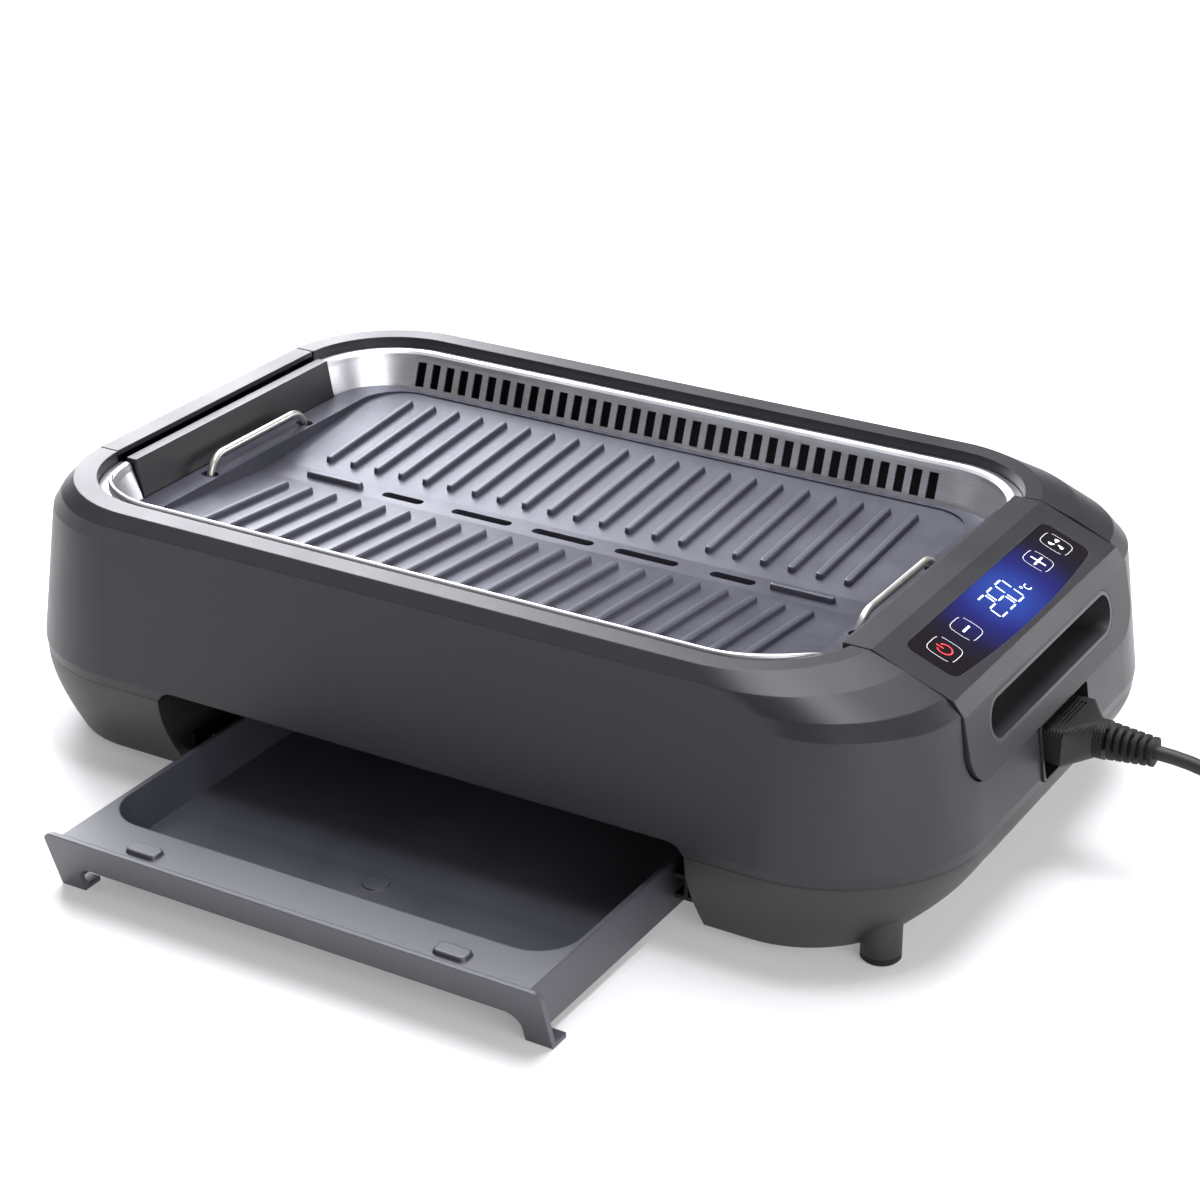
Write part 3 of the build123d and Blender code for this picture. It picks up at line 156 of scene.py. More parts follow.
# Lit print: colours, and the share of light that its dimmer patches keep
figure_colour = (0.80, 0.93, 1.0, 1.0)
outline_colour = (0.52, 0.50, 0.52, 1.0)
symbol_colour = (0.86, 0.87, 0.90, 1.0)
power_colour = (0.80, 0.035, 0.045, 1.0)
dim_share = 0.86

# Moulded plastics and ceramic, display colours: colour, paler patches, roughness, what differs from the usual
plastics = {
    "housing_graphite": ((38, 36, 40), (43, 41, 46), 0.40, {"edge": 0.0009, "Specular_IOR_Level": 0.36}),
    "cover_graphite": ((38, 36, 40), (43, 41, 46), 0.40, {"edge": 0.0007, "Specular_IOR_Level": 0.36}),
    "saddle_graphite": ((37, 36, 39), (42, 41, 45), 0.46, {"edge": 0.0009, "Specular_IOR_Level": 0.28}),
    "base_dark": ((34, 32, 34), (39, 37, 39), 0.48, {"edge": 0.0009}),
    "cup_graphite": ((42, 41, 44), (48, 47, 50), 0.42, {}),
    "plastic_black": ((24, 24, 25), (30, 30, 31), 0.40, {}),
    "tray_black": ((50, 51, 60), (57, 58, 67), 0.48,
                   {"grain": 1100.0, "depth": 0.14, "edge": 0.0012, "Specular_IOR_Level": 1.0}),
    "rubber_black": ((18, 18, 18), (25, 25, 25), 0.60,
                     {"grain": 800.0, "depth": 0.2, "Specular_IOR_Level": 0.32}),
    "cord_black": ((24, 24, 25), (30, 30, 31), 0.50, {"grain": 1800.0, "depth": 0.12}),
    "ceramic_white": ((206, 202, 192), (222, 219, 210), 0.5, {"grain": 700.0, "depth": 0.1}),
}

# Brushed metals, display colours: colour, duller streaks, roughness, stretch and depth of the streaks
metals = {
    "liner_steel": ((222, 222, 226), (208, 208, 212), 0.40, (18.0, 900.0, 1500.0), 0.02),
    "wire_steel": ((206, 203, 197), (198, 195, 189), 0.38, (900.0, 25.0, 900.0), 0.008),
    "pan_aluminium": ((188, 189, 192), (160, 161, 165), 0.36, (40.0, 600.0, 600.0), 0.06),
    "element_steel": ((112, 106, 102), (78, 74, 74), 0.42, (300.0, 300.0, 300.0), 0.06),
    "steel_plain": ((190, 190, 192), (160, 160, 163), 0.30, (500.0, 500.0, 60.0), 0.06),
    "pin_metal": ((206, 198, 176), (182, 174, 152), 0.22, (60.0, 900.0, 900.0), 0.06),
    "impeller_aluminium": ((196, 197, 200), (170, 171, 175), 0.34, (300.0, 300.0, 300.0), 0.06),
}

# How far the slow patches of each kind of finish move its roughness down and up
moulded_swing = (-0.03, 0.04)
brushed_swing = (-0.05, 0.06)
coated_swing = (-0.04, 0.05)

# Plug's grip: scale and turn of its two sets of ridges
hatch_scale = 420.0
hatch_turns = (45.0, -45.0)

# Camera: place and turn found from the photograph's perspective
camera_azimuth = math.radians(30.639)
camera_elevation = math.radians(25.271)
camera_offset = (0.021056, -0.035881, 1.45545)
camera_target_height = 0.1135
camera_sensor = 36.0
camera_focal = camera_sensor * 2864.03 / 1200.0

# Paper floor: half its width, its grey, and its glow to the eye between a near and a far distance
floor_half = 9.0
paper_grey = (0.74, 0.74, 0.74, 1.0)
glow_near = 0.35
glow_far = 2.20
glow_low = 0.24
glow_high = 0.95

# Room: its level in reflections, and as a source of light
room_in_gloss = 0.16
room_fill = 0.16

# Soft lights: place, aim, width and height, power in watts, colour
plain_white = (1.0, 1.0, 1.0)
faint_blue = (0.96, 0.97, 1.0)
light_blue = (0.95, 0.96, 1.0)
cool_blue = (0.94, 0.95, 1.0)
soft_lights = {
    "left_wall": ((-1.62, 1.40, 0.98), (-0.1, 0.0, 0.1), (1.15, 2.0), 66.0, cool_blue),
    "high_panel": ((-0.75, 0.75, 2.00), (0.0, -0.25, 0.05), (1.2, 0.9), 38.0, faint_blue),
    "back_panel": ((0.15, 1.15, 1.75), (0.2, -0.05, 0.1), (0.7, 0.5), 9.0, cool_blue),
    "top_box": ((0.32, 0.02, 1.95), (0.25, -0.1, 0.1), (0.8, 0.8), 28.0, light_blue),
    "right_wall": ((1.70, -1.00, 0.55), (0.25, -0.05, 0.08), (1.4, 1.0), 24.0, plain_white),
    "back_right": ((1.25, 1.30, 0.40), (0.26, 0.0, 0.06), (1.2, 0.7), 15.0, faint_blue),
    "front_fill": ((-1.10, -0.85, 1.25), (0.0, -0.1, 0.1), (0.8, 0.8), 2.0, plain_white),
}


def linear(red, green, blue):
    """A display colour, 0 to 255, as linear light with full alpha."""
    c = np.array((red, green, blue)) / 255.0
    light = np.where(c <= 0.04045, c / 12.92, ((c + 0.055) / 1.055) ** 2.4)
    return (*light.tolist(), 1.0)


def look_from(azimuth, elevation):
    """Right, up and backward directions of an eye that stands at this azimuth and elevation."""
    right = Vector((math.cos(azimuth), math.sin(azimuth), 0.0))
    back = Vector((math.sin(azimuth) * math.cos(elevation), -math.cos(azimuth) * math.cos(elevation),
                   math.sin(elevation)))
    return right, back.cross(right), back


def place_camera():
    """Camera whose axes are the eye's right, up and backward directions."""
    right, up, back = look_from(camera_azimuth, camera_elevation)
    eye = right * camera_offset[0] + up * camera_offset[1] + back * camera_offset[2]
    eye += Vector(plate_centre) + Vector((0.0, 0.0, camera_target_height))
    lens = bpy.data.cameras.new("camera")
    lens.lens = camera_focal
    lens.sensor_width = camera_sensor
    lens.clip_start = 0.05
    lens.clip_end = 50.0
    camera = bpy.data.objects.new("camera", lens)
    bpy.context.scene.collection.objects.link(camera)
    turn = Matrix((right, up, back)).transposed().to_4x4()
    camera.matrix_world = Matrix.Translation(eye) @ turn
    bpy.context.scene.camera = camera


# Meshes


def mesh_of_grids(name, grids):
    """One mesh of several grids: point (i, j) joins (i+1, j), (i+1, j+1) and (i, j+1) in a quad."""
    points, quads, start = [], [], 0
    for grid in grids:
        rows, columns = grid.shape[:2]
        points.append(grid.reshape(-1, 3))
        number = start + np.arange(rows * columns).reshape(rows, columns)
        corners = (number[:-1, :-1], number[1:, :-1], number[1:, 1:], number[:-1, 1:])
        quads.append(np.stack(corners, axis=-1).reshape(-1, 4))
        start += rows * columns
    mesh = bpy.data.meshes.new(name)
    mesh.from_pydata(np.concatenate(points).tolist(), [], np.concatenate(quads).tolist())
    mesh.update()
    piece = bpy.data.objects.new(name, mesh)
    bpy.context.scene.collection.objects.link(piece)
    return piece


def closed(piece):
    """Doubled points merged, so that seams and poles close, then faces turned outwards and shaded smooth."""
    shape = bmesh.new()
    shape.from_mesh(piece.data)
    bmesh.ops.remove_doubles(shape, verts=shape.verts, dist=1e-7)
    bmesh.ops.recalc_face_normals(shape, faces=shape.faces)
    shape.to_mesh(piece.data)
    shape.free()
    piece.data.shade_smooth()
    return piece


def on_glass(flat):
    """Flat print (across, down) in millimetres on the slope: crest + down the fall + across along Y."""
    across, down = flat[..., 0:1] / 1000.0, flat[..., 1:2] / 1000.0
    fall = np.array((math.cos(slope_angle), 0.0, -math.sin(slope_angle)))
    face = np.array((math.sin(slope_angle), 0.0, math.cos(slope_angle)))
    return slope_crest + down * fall + across * np.array((0.0, 1.0, 0.0)) + face * print_lift


def stroke(path, width):
    """Ribbon: each point of the path moves half a width to the left and right of the path's own direction."""
    along = np.gradient(path, axis=0)
    along /= np.linalg.norm(along, axis=1, keepdims=True)
    side = np.stack((-along[:, 1], along[:, 0]), axis=1) * np.reshape(width, (-1, 1)) / 2.0
    return on_glass(np.stack((path + side, path - side), axis=1))


def straight(centre, reach, width):
    """Straight stroke through three points: centre - reach, centre and centre + reach."""
    steps = np.array((-1.0, 0.0, 1.0))[:, None]
    return stroke(np.array(centre) + steps * np.array(reach), width)


def bar(start, end, width):
    """Straight stroke with both ends cut to a point at 45 degrees, as a display segment has."""
    span = np.linalg.norm(end - start)
    way = np.array((0.0, width / 2.0, span - width / 2.0, span))
    path = start + (end - start) * (way / span)[:, None]
    return stroke(path, np.array((segment_tip, width, width, segment_tip)))


def arc(centre, radius, start, end, width, points):
    """Stroke along a circle: centre + radius (cos t, sin t) for t from start to end in degrees."""
    t = np.radians(np.linspace(start, end, points))
    return stroke(np.array(centre) + radius * np.stack((np.cos(t), np.sin(t)), axis=1), width)


def key_outline(centre, half_across, half_down):
    """Two strokes along a rounded square, sign(c)|c|^power both ways, with gaps at two opposite corners."""
    strokes = []
    for first in outline_starts:
        t = np.radians(np.linspace(first, first + outline_sweep, outline_points))
        across = np.sign(np.cos(t)) * np.abs(np.cos(t)) ** outline_power * half_across
        down = np.sign(np.sin(t)) * np.abs(np.sin(t)) ** outline_power * half_down
        strokes.append(stroke(np.array(centre) + np.stack((across, down), axis=1), outline_stroke))
    return strokes


def digit(lit, left):
    """Seven-segment figure: bars between corners of two stacked boxes, shifted by the lean as they rise."""
    across = {"l": left, "r": left + figure_wide}
    down = {"t": figure_top, "m": figure_top + figure_tall / 2.0, "b": figure_top + figure_tall}
    bars = []
    for name in lit:
        ends = []
        for side, row in segment_ends[name]:
            shift = figure_lean * (figure_top + figure_tall - down[row]) / figure_tall
            ends.append(np.array((across[side] + shift, down[row])))
        first, last = ends
        way = (last - first) / np.linalg.norm(last - first)
        bars.append(bar(first + way * figure_gap, last - way * figure_gap, figure_stroke))
    return bars


def blade(centre, aim):
    """Fan blade: from its root to its reach, the angle widens outwards and trails as the radius grows."""
    r = np.linspace(blade_root, 1.0, blade_points)[:, None]
    s = np.linspace(1.0, -1.0, blade_points)[None, :]
    rounded = np.sqrt(np.clip(1.0 - blade_taper * (r - blade_root) ** 4, 0.0, 1.0))
    half = np.radians(blade_spread) * np.sqrt(r) * rounded
    angle = np.radians(aim) + np.radians(blade_trail) * (r - blade_root) + half * s
    reach = blade_reach * r * (1.0 - blade_bow * s ** 2 * r)
    flat = np.stack((reach * np.cos(angle), reach * np.sin(angle)), axis=-1)
    return on_glass(np.array(centre) + flat)


# Shader node groups


def new_group(name, inputs, outputs):
    """Empty shader group with its sockets; returns the group and its input and output nodes."""
    group = bpy.data.node_groups.new(name, "ShaderNodeTree")
    for label, kind, value in inputs:
        socket = group.interface.new_socket(name=label, in_out="INPUT", socket_type=kind)
        if value is not None:
            socket.default_value = value
    for label in outputs:
        group.interface.new_socket(name=label, in_out="OUTPUT", socket_type="NodeSocketFloat")
    return group, group.nodes.new("NodeGroupInput"), group.nodes.new("NodeGroupOutput")


def noise(tree, place, scale, detail, rough=0.5):
    """Noise texture on a place; scale is a number or a socket."""
    node = tree.nodes.new("ShaderNodeTexNoise")
    tree.links.new(place, node.inputs["Vector"])
    if isinstance(scale, (int, float)):
        node.inputs["Scale"].default_value = scale
    else:
        tree.links.new(scale, node.inputs["Scale"])
    node.inputs["Detail"].default_value = detail
    node.inputs["Roughness"].default_value = rough
    return node.outputs["Fac"]


def ranged(tree, value, low, high, new_low=0.0, new_high=1.0):
    """Value spread from one range to another, held at both ends."""
    node = tree.nodes.new("ShaderNodeMapRange")
    tree.links.new(value, node.inputs["Value"])
    for label, number in (("From Min", low), ("From Max", high), ("To Min", new_low), ("To Max", new_high)):
        node.inputs[label].default_value = number
    return node.outputs["Result"]


def sums(tree, operation, first, second):
    """One maths step on two values, each a number or a socket."""
    node = tree.nodes.new("ShaderNodeMath")
    node.operation = operation
    for socket, value in zip(node.inputs, (first, second)):
        if isinstance(value, (int, float)):
            socket.default_value = value
        else:
            tree.links.new(value, socket)
    return node.outputs["Value"]


def blend_colours(tree, mask, first, second):
    """Colour that goes from the first to the second as the mask goes from 0 to 1."""
    node = tree.nodes.new("ShaderNodeMix")
    node.data_type = "RGBA"
    tree.links.new(mask, node.inputs["Factor"])
    for label, value in (("A", first), ("B", second)):
        socket = [s for s in node.inputs if s.name == label and s.type == "RGBA"][0]
        if isinstance(value, tuple):
            socket.default_value = value
        else:
            tree.links.new(value, socket)
    return [s for s in node.outputs if s.type == "RGBA"][0]


def moulded_grain_group():
    """Fine pitted grain of moulded plastic, and slow patches where the gloss differs a little."""
    group, given, result = new_group(
        "moulded_grain",
        [("Place", "NodeSocketVector", None), ("Grain", "NodeSocketFloat", 1400.0),
         ("Patch", "NodeSocketFloat", 22.0)],
        ["Height", "Patches"])
    fine = noise(group, given.outputs["Place"], given.outputs["Grain"], detail=2.0, rough=0.6)
    slow = noise(group, given.outputs["Place"], given.outputs["Patch"], detail=4.0, rough=0.55)
    group.links.new(fine, result.inputs["Height"])
    group.links.new(ranged(group, slow, low=0.32, high=0.68), result.inputs["Patches"])
    return group


def brushed_lines_group():
    """Long fine scratches: noise on a place that the material has stretched along the brushing."""
    group, given, result = new_group(
        "brushed_lines",
        [("Stretched Place", "NodeSocketVector", None), ("Place", "NodeSocketVector", None)],
        ["Height", "Streaks", "Smears"])
    lines = noise(group, given.outputs["Stretched Place"], scale=1.0, detail=3.0, rough=0.65)
    slow = noise(group, given.outputs["Place"], scale=30.0, detail=3.0)
    group.links.new(lines, result.inputs["Height"])
    group.links.new(ranged(group, lines, low=0.3, high=0.7), result.inputs["Streaks"])
    group.links.new(ranged(group, slow, low=0.35, high=0.7), result.inputs["Smears"])
    return group


def coating_specks_group():
    """Sprayed coating: fine bumps, slow clouds, and pale specks where the noise peaks."""
    group, given, result = new_group(
        "coating_specks",
        [("Place", "NodeSocketVector", None), ("Bump Scale", "NodeSocketFloat", 1700.0),
         ("Speck Scale", "NodeSocketFloat", 1100.0)],
        ["Height", "Specks", "Clouds"])
    bumps = noise(group, given.outputs["Place"], given.outputs["Bump Scale"], detail=3.0, rough=0.6)
    specks = noise(group, given.outputs["Place"], given.outputs["Speck Scale"], detail=2.0)
    clouds = noise(group, given.outputs["Place"], scale=26.0, detail=4.0, rough=0.6)
    group.links.new(bumps, result.inputs["Height"])
    group.links.new(ranged(group, specks, low=0.66, high=0.76), result.inputs["Specks"])
    group.links.new(ranged(group, clouds, low=0.3, high=0.7), result.inputs["Clouds"])
    return group


# Materials


class Finish:
    """A material with its Principled shader, the Object place, and helpers that add a group or a bump."""

    def __init__(self, name, colour, roughness, **sockets):
        self.material = bpy.data.materials.new(name)
        self.material.use_nodes = True
        self.tree = self.material.node_tree
        self.shader = self.tree.nodes["Principled BSDF"]
        self.shader.inputs["Base Color"].default_value = colour
        self.shader.inputs["Roughness"].default_value = roughness
        for label, value in sockets.items():
            self.shader.inputs[label.replace("_", " ")].default_value = value
        self.place = self.tree.nodes.new("ShaderNodeTexCoord").outputs["Object"]

    def group(self, group, **inputs):
        """Outputs of a group placed in this material, with its inputs set to numbers or linked to sockets."""
        node = self.tree.nodes.new("ShaderNodeGroup")
        node.node_tree = group
        self.tree.links.new(self.place, node.inputs["Place"])
        for label, value in inputs.items():
            socket = node.inputs[label.replace("_", " ")]
            if isinstance(value, (int, float)):
                socket.default_value = value
            else:
                self.tree.links.new(value, socket)
        return node.outputs

    def mapped(self, scale, shift=(0.0, 0.0, 0.0), turn=(0.0, 0.0, 0.0)):
        """The Object place scaled, turned and then shifted."""
        node = self.tree.nodes.new("ShaderNodeMapping")
        node.inputs["Location"].default_value = shift
        node.inputs["Rotation"].default_value = turn
        node.inputs["Scale"].default_value = scale
        self.tree.links.new(self.place, node.inputs["Vector"])
        return node.outputs["Vector"]

    def feed(self, label, socket):
        """Link a socket into the shader's input of that name."""
        self.tree.links.new(socket, self.shader.inputs[label])

    def vary_roughness(self, mask, low, high):
        """Roughness that goes from low to high as the mask goes from 0 to 1."""
        self.feed("Roughness", ranged(self.tree, mask, 0.0, 1.0, low, high))

    def bump(self, height, strength, distance, edge=0.0):
        """Bump from a height, over edges that are rounded in the normal where an edge radius is given."""
        node = self.tree.nodes.new("ShaderNodeBump")
        if edge:
            soft = self.tree.nodes.new("ShaderNodeBevel")
            soft.samples = 4
            soft.inputs["Radius"].default_value = edge
            self.tree.links.new(soft.outputs["Normal"], node.inputs["Normal"])
        node.inputs["Strength"].default_value = strength
        node.inputs["Distance"].default_value = distance
        self.tree.links.new(height, node.inputs["Height"])
        self.feed("Normal", node.outputs["Normal"])


def moulded(name, colour, pale, roughness, grain=1400.0, depth=0.10, edge=0.0, **sockets):
    """Moulded plastic: grain in the normal, and patches that shift the colour and the gloss."""
    finish = Finish(name, linear(*colour), roughness, **sockets)
    out = finish.group(moulded_grain, Grain=grain)
    finish.feed("Base Color", blend_colours(finish.tree, out["Patches"], linear(*colour), linear(*pale)))
    finish.vary_roughness(out["Patches"], roughness + moulded_swing[0], roughness + moulded_swing[1])
    finish.bump(out["Height"], strength=depth, distance=0.0004, edge=edge)
    return finish


def brushed(name, colour, dull, roughness, stretch, depth):
    """Brushed metal: streaks along the stretch in colour and normal, and slow smears in the gloss."""
    finish = Finish(name, linear(*colour), roughness, Metallic=1.0)
    out = finish.group(brushed_lines, Stretched_Place=finish.mapped(stretch))
    finish.feed("Base Color", blend_colours(finish.tree, out["Streaks"], linear(*dull), linear(*colour)))
    finish.vary_roughness(out["Smears"], roughness + brushed_swing[0], roughness + brushed_swing[1])
    finish.bump(out["Height"], strength=depth, distance=0.0003)
    return finish


def coated_plate():
    """Sprayed non-stick coating: clouds and specks in the colour, fine bumps in the normal."""
    colour = linear(64, 64, 73)
    roughness = 0.33
    finish = Finish("plate_nonstick", colour, roughness, Metallic=0.2, Specular_IOR_Level=0.48,
                    Specular_Tint=(0.92, 0.92, 1.0, 1.0))
    out = finish.group(coating_specks, Bump_Scale=1700.0)
    clouded = blend_colours(finish.tree, out["Clouds"], colour, linear(72, 72, 82))
    finish.feed("Base Color", blend_colours(finish.tree, out["Specks"], clouded, linear(88, 88, 99)))
    finish.vary_roughness(out["Clouds"], roughness + coated_swing[0], roughness + coated_swing[1])
    finish.bump(out["Height"], strength=0.20, distance=0.0004)
    return finish


def lit_print(name, colour):
    """Backlit print on the glass: its light varies a little along the symbols, as a diffuser's does."""
    finish = Finish(name, colour, 0.4, Emission_Strength=1.0)
    out = finish.group(moulded_grain, Grain=600.0, Patch=180.0)
    dim = tuple(dim_share * c for c in colour[:3]) + (1.0,)
    finish.feed("Emission Color", blend_colours(finish.tree, out["Patches"], dim, colour))
    return finish


def panel_glass():
    """Black glass lit blue from behind: light falls off with the distance from the middle of the display."""
    finish = Finish("panel_glass", linear(20, 17, 20), 0.10, Specular_IOR_Level=0.25, Emission_Strength=1.0)
    ball = finish.tree.nodes.new("ShaderNodeTexGradient")
    ball.gradient_type = "SPHERICAL"
    mapped = finish.mapped(1.0 / panel_light_reach, shift=-panel_light_middle / panel_light_reach)
    finish.tree.links.new(mapped, ball.inputs["Vector"])
    ramp = finish.tree.nodes.new("ShaderNodeValToRGB")
    finish.tree.links.new(ball.outputs["Fac"], ramp.inputs["Fac"])
    steps = ramp.color_ramp.elements
    for step, (place, colour) in zip(steps, (panel_light_steps[0], panel_light_steps[-1])):
        step.position = place
        step.color = colour
    for place, colour in panel_light_steps[1:-1]:
        steps.new(place).color = colour
    finish.feed("Emission Color", ramp.outputs["Color"])
    out = finish.group(moulded_grain, Grain=300.0, Patch=40.0)
    finish.vary_roughness(out["Patches"], 0.07, 0.14)
    return finish


def shade_under_split(finish):
    """Shadow line of the base, just under its split from the upper housing."""
    place = finish.tree.nodes.new("ShaderNodeSeparateXYZ")
    finish.tree.links.new(finish.place, place.inputs["Vector"])
    line = ranged(finish.tree, place.outputs["Z"], split_height - shadow_gone, split_height - shadow_full)
    plain = finish.shader.inputs["Base Color"].links[0].from_socket
    finish.feed("Base Color", blend_colours(finish.tree, line, plain, linear(8, 8, 8)))


def circuit_board():
    """Green board: squared tracks where two crossed sets of bands overlap, raised a little."""
    finish = Finish("board_green", linear(20, 70, 40), 0.35)
    bands = []
    for scale in ((420.0, 0.0, 0.0), (0.0, 360.0, 0.0)):
        wave = noise(finish.tree, finish.mapped(scale), scale=1.0, detail=1.0)
        bands.append(ranged(finish.tree, wave, low=0.48, high=0.52))
    tracks = sums(finish.tree, "MULTIPLY", bands[0], bands[1])
    finish.feed("Base Color", blend_colours(finish.tree, tracks, linear(18, 62, 36), linear(58, 128, 70)))
    finish.bump(tracks, strength=0.2, distance=0.0002)
    return finish


def knurled_plug():
    """Black plug with a cross-hatched grip: two sets of diagonal ridges multiplied, raised in the normal,
    with painted shade that darkens the grooves between the ridges.
    """
    finish = Finish("plug_black", linear(22, 22, 23), 0.45, Specular_IOR_Level=0.30)
    ridges = []
    for turn in hatch_turns:
        wave = finish.tree.nodes.new("ShaderNodeTexWave")
        wave.inputs["Scale"].default_value = 1.0
        turned = finish.mapped((hatch_scale,) * 3, turn=(0.0, math.radians(turn), math.radians(turn)))
        finish.tree.links.new(turned, wave.inputs["Vector"])
        ridges.append(wave.outputs["Fac"])
    hatch = sums(finish.tree, "MULTIPLY", ridges[0], ridges[1])
    out = finish.group(moulded_grain, Grain=900.0)
    # Painted shade: the colour is darker in the grooves of the hatch and lighter on its ridges
    finish.feed("Base Color", blend_colours(finish.tree, hatch, linear(16, 16, 17), linear(30, 30, 31)))
    finish.vary_roughness(out["Patches"], 0.40, 0.52)
    finish.bump(hatch, strength=0.5, distance=0.0005)
    return finish


moulded_grain = moulded_grain_group()
brushed_lines = brushed_lines_group()
coating_specks = coating_specks_group()

finishes = {
    "plate_nonstick": coated_plate(),
    "panel_glass": panel_glass(),
    "board_green": circuit_board(),
    "plug_black": knurled_plug(),
}
for name, (colour, pale, roughness, more) in plastics.items():
    finishes[name] = moulded(name, colour, pale, roughness, **more)
for name, (colour, dull, roughness, stretch, depth) in metals.items():
    finishes[name] = brushed(name, colour, dull, roughness, stretch, depth)
shade_under_split(finishes["base_dark"])

figure_light = lit_print("display_white", figure_colour)
outline_light = lit_print("key_silver", outline_colour)
symbol_light = lit_print("symbol_white", symbol_colour)
power_light = lit_print("power_red", power_colour)


def dress_nodes():
    """Every CAD node takes the finish of its own material slot, and the hand cups a lighter grey."""
    slots = {part["node"]: part["material_slot"] for part in frame["record"]["subparts"]}
    slots.update({"right_hand_cup": "cup_graphite", "left_hand_cup": "cup_graphite"})
    for name, node in nodes.items():
        node.data.materials.clear()
        node.data.materials.append(finishes[slots[name]].material)


def add(piece, finish, body):
    """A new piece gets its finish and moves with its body."""
    piece.data.materials.append(finish.material)
    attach(piece, body)


def supply_lead():
    """Round lead on one smooth curve: out of the strain relief, down, round the coil, then to the plug.

    The coil's points lie on a helix that is widened so that the curve between them keeps the coil's radius.
    """
    t = np.arange(coil_turns * coil_steps + 1) / coil_steps
    wide = coil_radius / math.cos(math.pi / coil_steps)
    coil_x = coil_centre[0] + wide * np.cos(2 * math.pi * t)
    coil_y = coil_centre[1] + wide * np.sin(2 * math.pi * t)
    coil = np.stack((coil_x, coil_y, coil_low + coil_pitch * t), axis=1)
    route = np.concatenate((lead_start, coil, lead_end)) + plate_centre
    curve = bpy.data.curves.new("supply_lead", "CURVE")
    curve.dimensions = "3D"
    curve.bevel_depth = lead_diameter / 2
    curve.bevel_resolution = 6
    curve.resolution_u = 8
    curve.use_fill_caps = True
    spline = curve.splines.new("NURBS")
    spline.points.add(len(route) - 1)
    spline.points.foreach_set("co", np.column_stack((route, np.ones(len(route)))).ravel())
    spline.order_u = 3
    spline.use_endpoint_u = True
    piece = bpy.data.objects.new("supply_lead", curve)
    bpy.context.scene.collection.objects.link(piece)
    add(piece, finishes["cord_black"], "lead")
    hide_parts("supply_cord", "cord_coil", "cord_tail")


def front_liner_roll():
    """Rolled edge on the front lip: an ellipse carried along the straight front and part of both corners.

    The ellipse shrinks to nothing over the fade at each end, where the roll runs out into the lip.
    """
    low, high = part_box("front_liner")
    left, right = low[0] + roll_inset + roll_radius, high[0] - roll_inset - roll_radius
    centre_y, seat = low[1] + roll_inset + roll_radius, high[2]
    turn = np.linspace(0.0, roll_sweep, roll_corner_points)
    first = np.stack((left - roll_radius * np.sin(turn), centre_y - roll_radius * np.cos(turn)), axis=1)[::-1]
    last = np.stack((right + roll_radius * np.sin(turn), centre_y - roll_radius * np.cos(turn)), axis=1)
    front_x = np.linspace(left, right, roll_front_points + 2)[1:-1]
    front = np.stack((front_x, np.full(roll_front_points, centre_y - roll_radius)), axis=1)
    path = np.concatenate((first, front, last))
    way = np.gradient(path, axis=0)
    way /= np.linalg.norm(way, axis=1, keepdims=True)
    side = np.stack((-way[:, 1], way[:, 0]), axis=1)
    run = np.concatenate(([0.0], np.cumsum(np.linalg.norm(np.diff(path, axis=0), axis=1))))
    ramp = np.clip(np.minimum(run, run[-1] - run) / roll_fade, 0.0, 1.0)
    swell = np.sqrt(1.0 - (1.0 - ramp) ** 2)[:, None]
    around = np.linspace(0.0, 2.0 * math.pi, roll_round_points)[None, :]
    out = roll_half_width * swell * np.cos(around)
    rise = roll_half_height * swell * (1.0 + np.sin(around))
    flat = path[:, None, :] + side[:, None, :] * out[..., None]
    tube = np.concatenate((flat, (seat + rise)[..., None]), axis=-1)
    add(closed(mesh_of_grids("front_liner_roll", [tube])), finishes["liner_steel"], "base")


def touch_panel():
    """Backlit figures and key symbols on the glass, in millimetres across and down the slope."""
    figures = []
    for number, lit in enumerate(figures_lit):
        figures += digit(lit, figure_left + figure_step * number)
    figures += [arc(**degree_ring), arc(**degree_letter)]
    add(mesh_of_grids("display_figures", figures), figure_light, "base")
    outlines = []
    for key in (power_key, minus_key, plus_key, fan_key):
        outlines += key_outline(*key)
    add(mesh_of_grids("key_outlines", outlines), outline_light, "base")
    symbols = [straight(minus_key[0], minus_reach, minus_stroke)]
    symbols += [straight(plus_key[0], reach, plus_stroke) for reach in plus_reaches]
    symbols += [blade(fan_key[0], aim) for aim in blade_aims]
    add(mesh_of_grids("key_symbols", symbols), symbol_light, "base")
    power = [arc(**power_ring), straight(power_stem, power_stem_reach, power_stroke)]
    add(mesh_of_grids("power_symbol", power), power_light, "base")


# Stage and light


def seen_rays(tree):
    """Two masks: rays from the eye, also through glass, and rays that glossy surfaces send out."""
    rays = tree.nodes.new("ShaderNodeLightPath")
    eye = sums(tree, "MAXIMUM", rays.outputs["Is Camera Ray"], rays.outputs["Is Transmission Ray"])
    return eye, rays.outputs["Is Glossy Ray"]


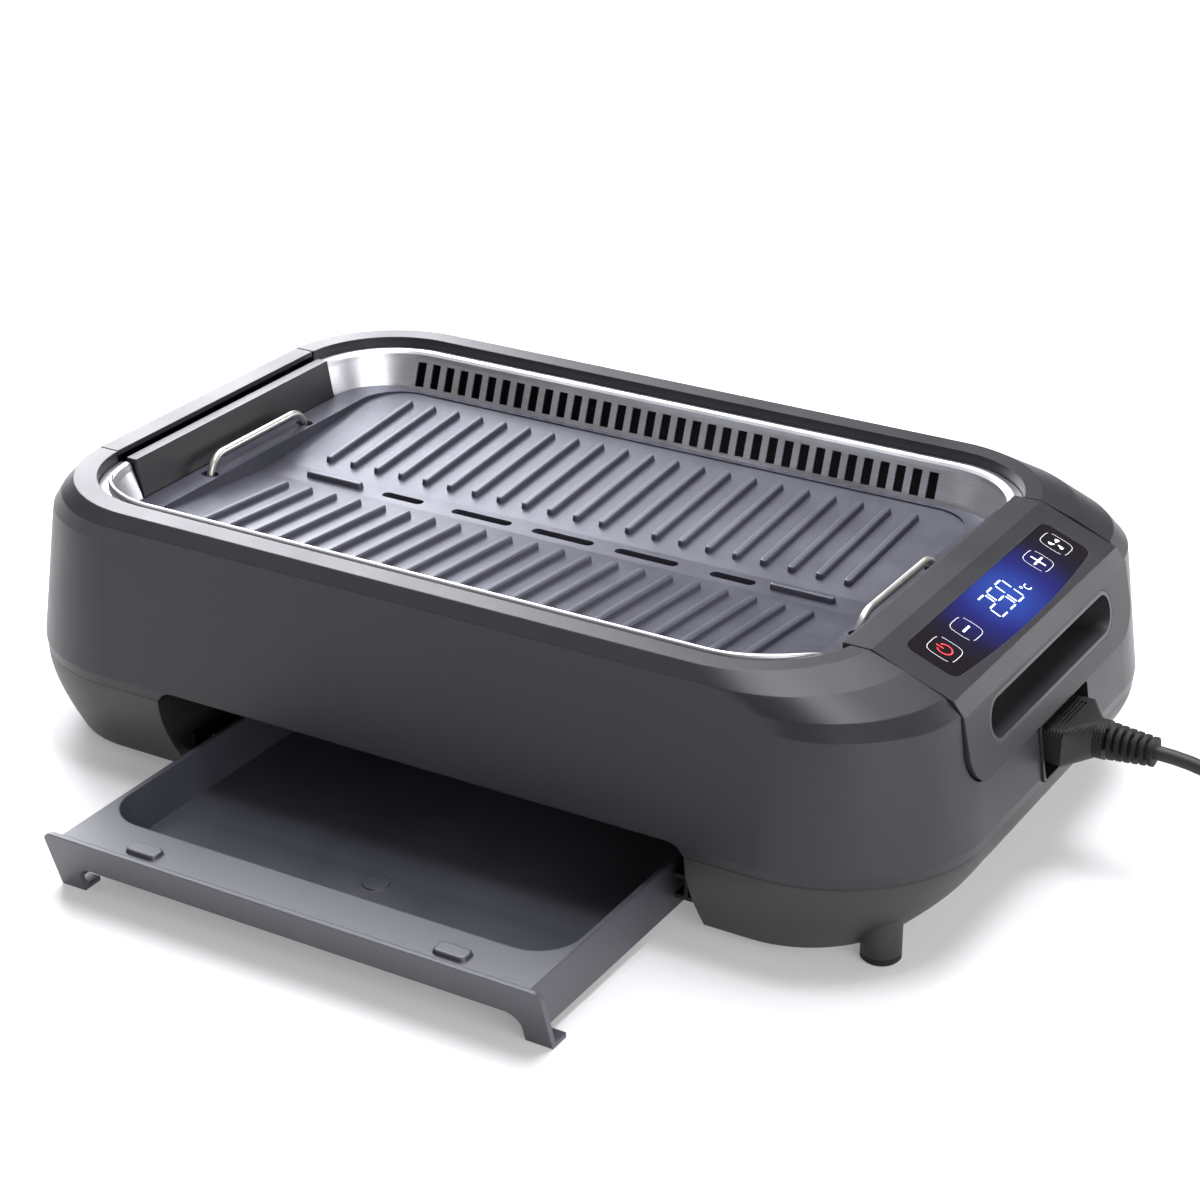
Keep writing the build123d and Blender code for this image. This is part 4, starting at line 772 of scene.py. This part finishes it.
def paper_floor():
    """Pale sheet under the grill that keeps its shadow; to the eye and in gloss it glows more further off."""
    u = np.linspace(-floor_half, floor_half, 3)
    x, y = np.meshgrid(u, u, indexing="ij")
    floor = mesh_of_grids("floor", [np.stack((x, y, np.zeros_like(x)), axis=-1)])
    paper = bpy.data.materials.new("floor_paper")
    paper.use_nodes = True
    tree = paper.node_tree
    tree.nodes.remove(tree.nodes["Principled BSDF"])
    matt = tree.nodes.new("ShaderNodeBsdfDiffuse")
    matt.inputs["Color"].default_value = paper_grey
    glow = tree.nodes.new("ShaderNodeEmission")
    eye, gloss = seen_rays(tree)
    seen = sums(tree, "MAXIMUM", eye, gloss)
    away = tree.nodes.new("ShaderNodeVectorMath")
    away.operation = "LENGTH"
    tree.links.new(tree.nodes.new("ShaderNodeTexCoord").outputs["Object"], away.inputs[0])
    level = ranged(tree, away.outputs["Value"], glow_near, glow_far, glow_low, glow_high)
    tree.links.new(sums(tree, "MULTIPLY", seen, level), glow.inputs["Strength"])
    both = tree.nodes.new("ShaderNodeAddShader")
    tree.links.new(matt.outputs["BSDF"], both.inputs[0])
    tree.links.new(glow.outputs["Emission"], both.inputs[1])
    tree.links.new(both.outputs["Shader"], tree.nodes["Material Output"].inputs["Surface"])
    floor.data.materials.append(paper)


def studio_world():
    """Even surroundings: white to the eye and through glass, dim in reflections and as a source of light."""
    world = bpy.data.worlds.new("studio")
    bpy.context.scene.world = world
    world.use_nodes = True
    tree = world.node_tree
    sky = tree.nodes["Background"]
    sky.inputs["Color"].default_value = (1.0, 1.0, 1.0, 1.0)
    eye, gloss = seen_rays(tree)
    strength = sums(tree, "MAXIMUM", eye, sums(tree, "MULTIPLY", gloss, room_in_gloss))
    tree.links.new(sums(tree, "MAXIMUM", strength, room_fill), sky.inputs["Strength"])


def soft_box(name, place, aim, size, power, colour):
    """Rectangular soft light at a place, turned towards its aim."""
    lamp = bpy.data.lights.new(name, "AREA")
    lamp.shape = "RECTANGLE"
    lamp.size, lamp.size_y = size
    lamp.energy = power
    lamp.color = colour
    light = bpy.data.objects.new(name, lamp)
    bpy.context.scene.collection.objects.link(light)
    place, aim = Vector(place) + Vector(plate_centre), Vector(aim) + Vector(plate_centre)
    way = aim - place
    light.matrix_world = Matrix.Translation(place) @ way.to_track_quat("-Z", "Y").to_matrix().to_4x4()


place_camera()
supply_lead()
dress_nodes()
touch_panel()
front_liner_roll()
paper_floor()
studio_world()
for name, settings in soft_lights.items():
    soft_box(name, *settings)
bpy.context.scene.view_settings.view_transform = "Standard"
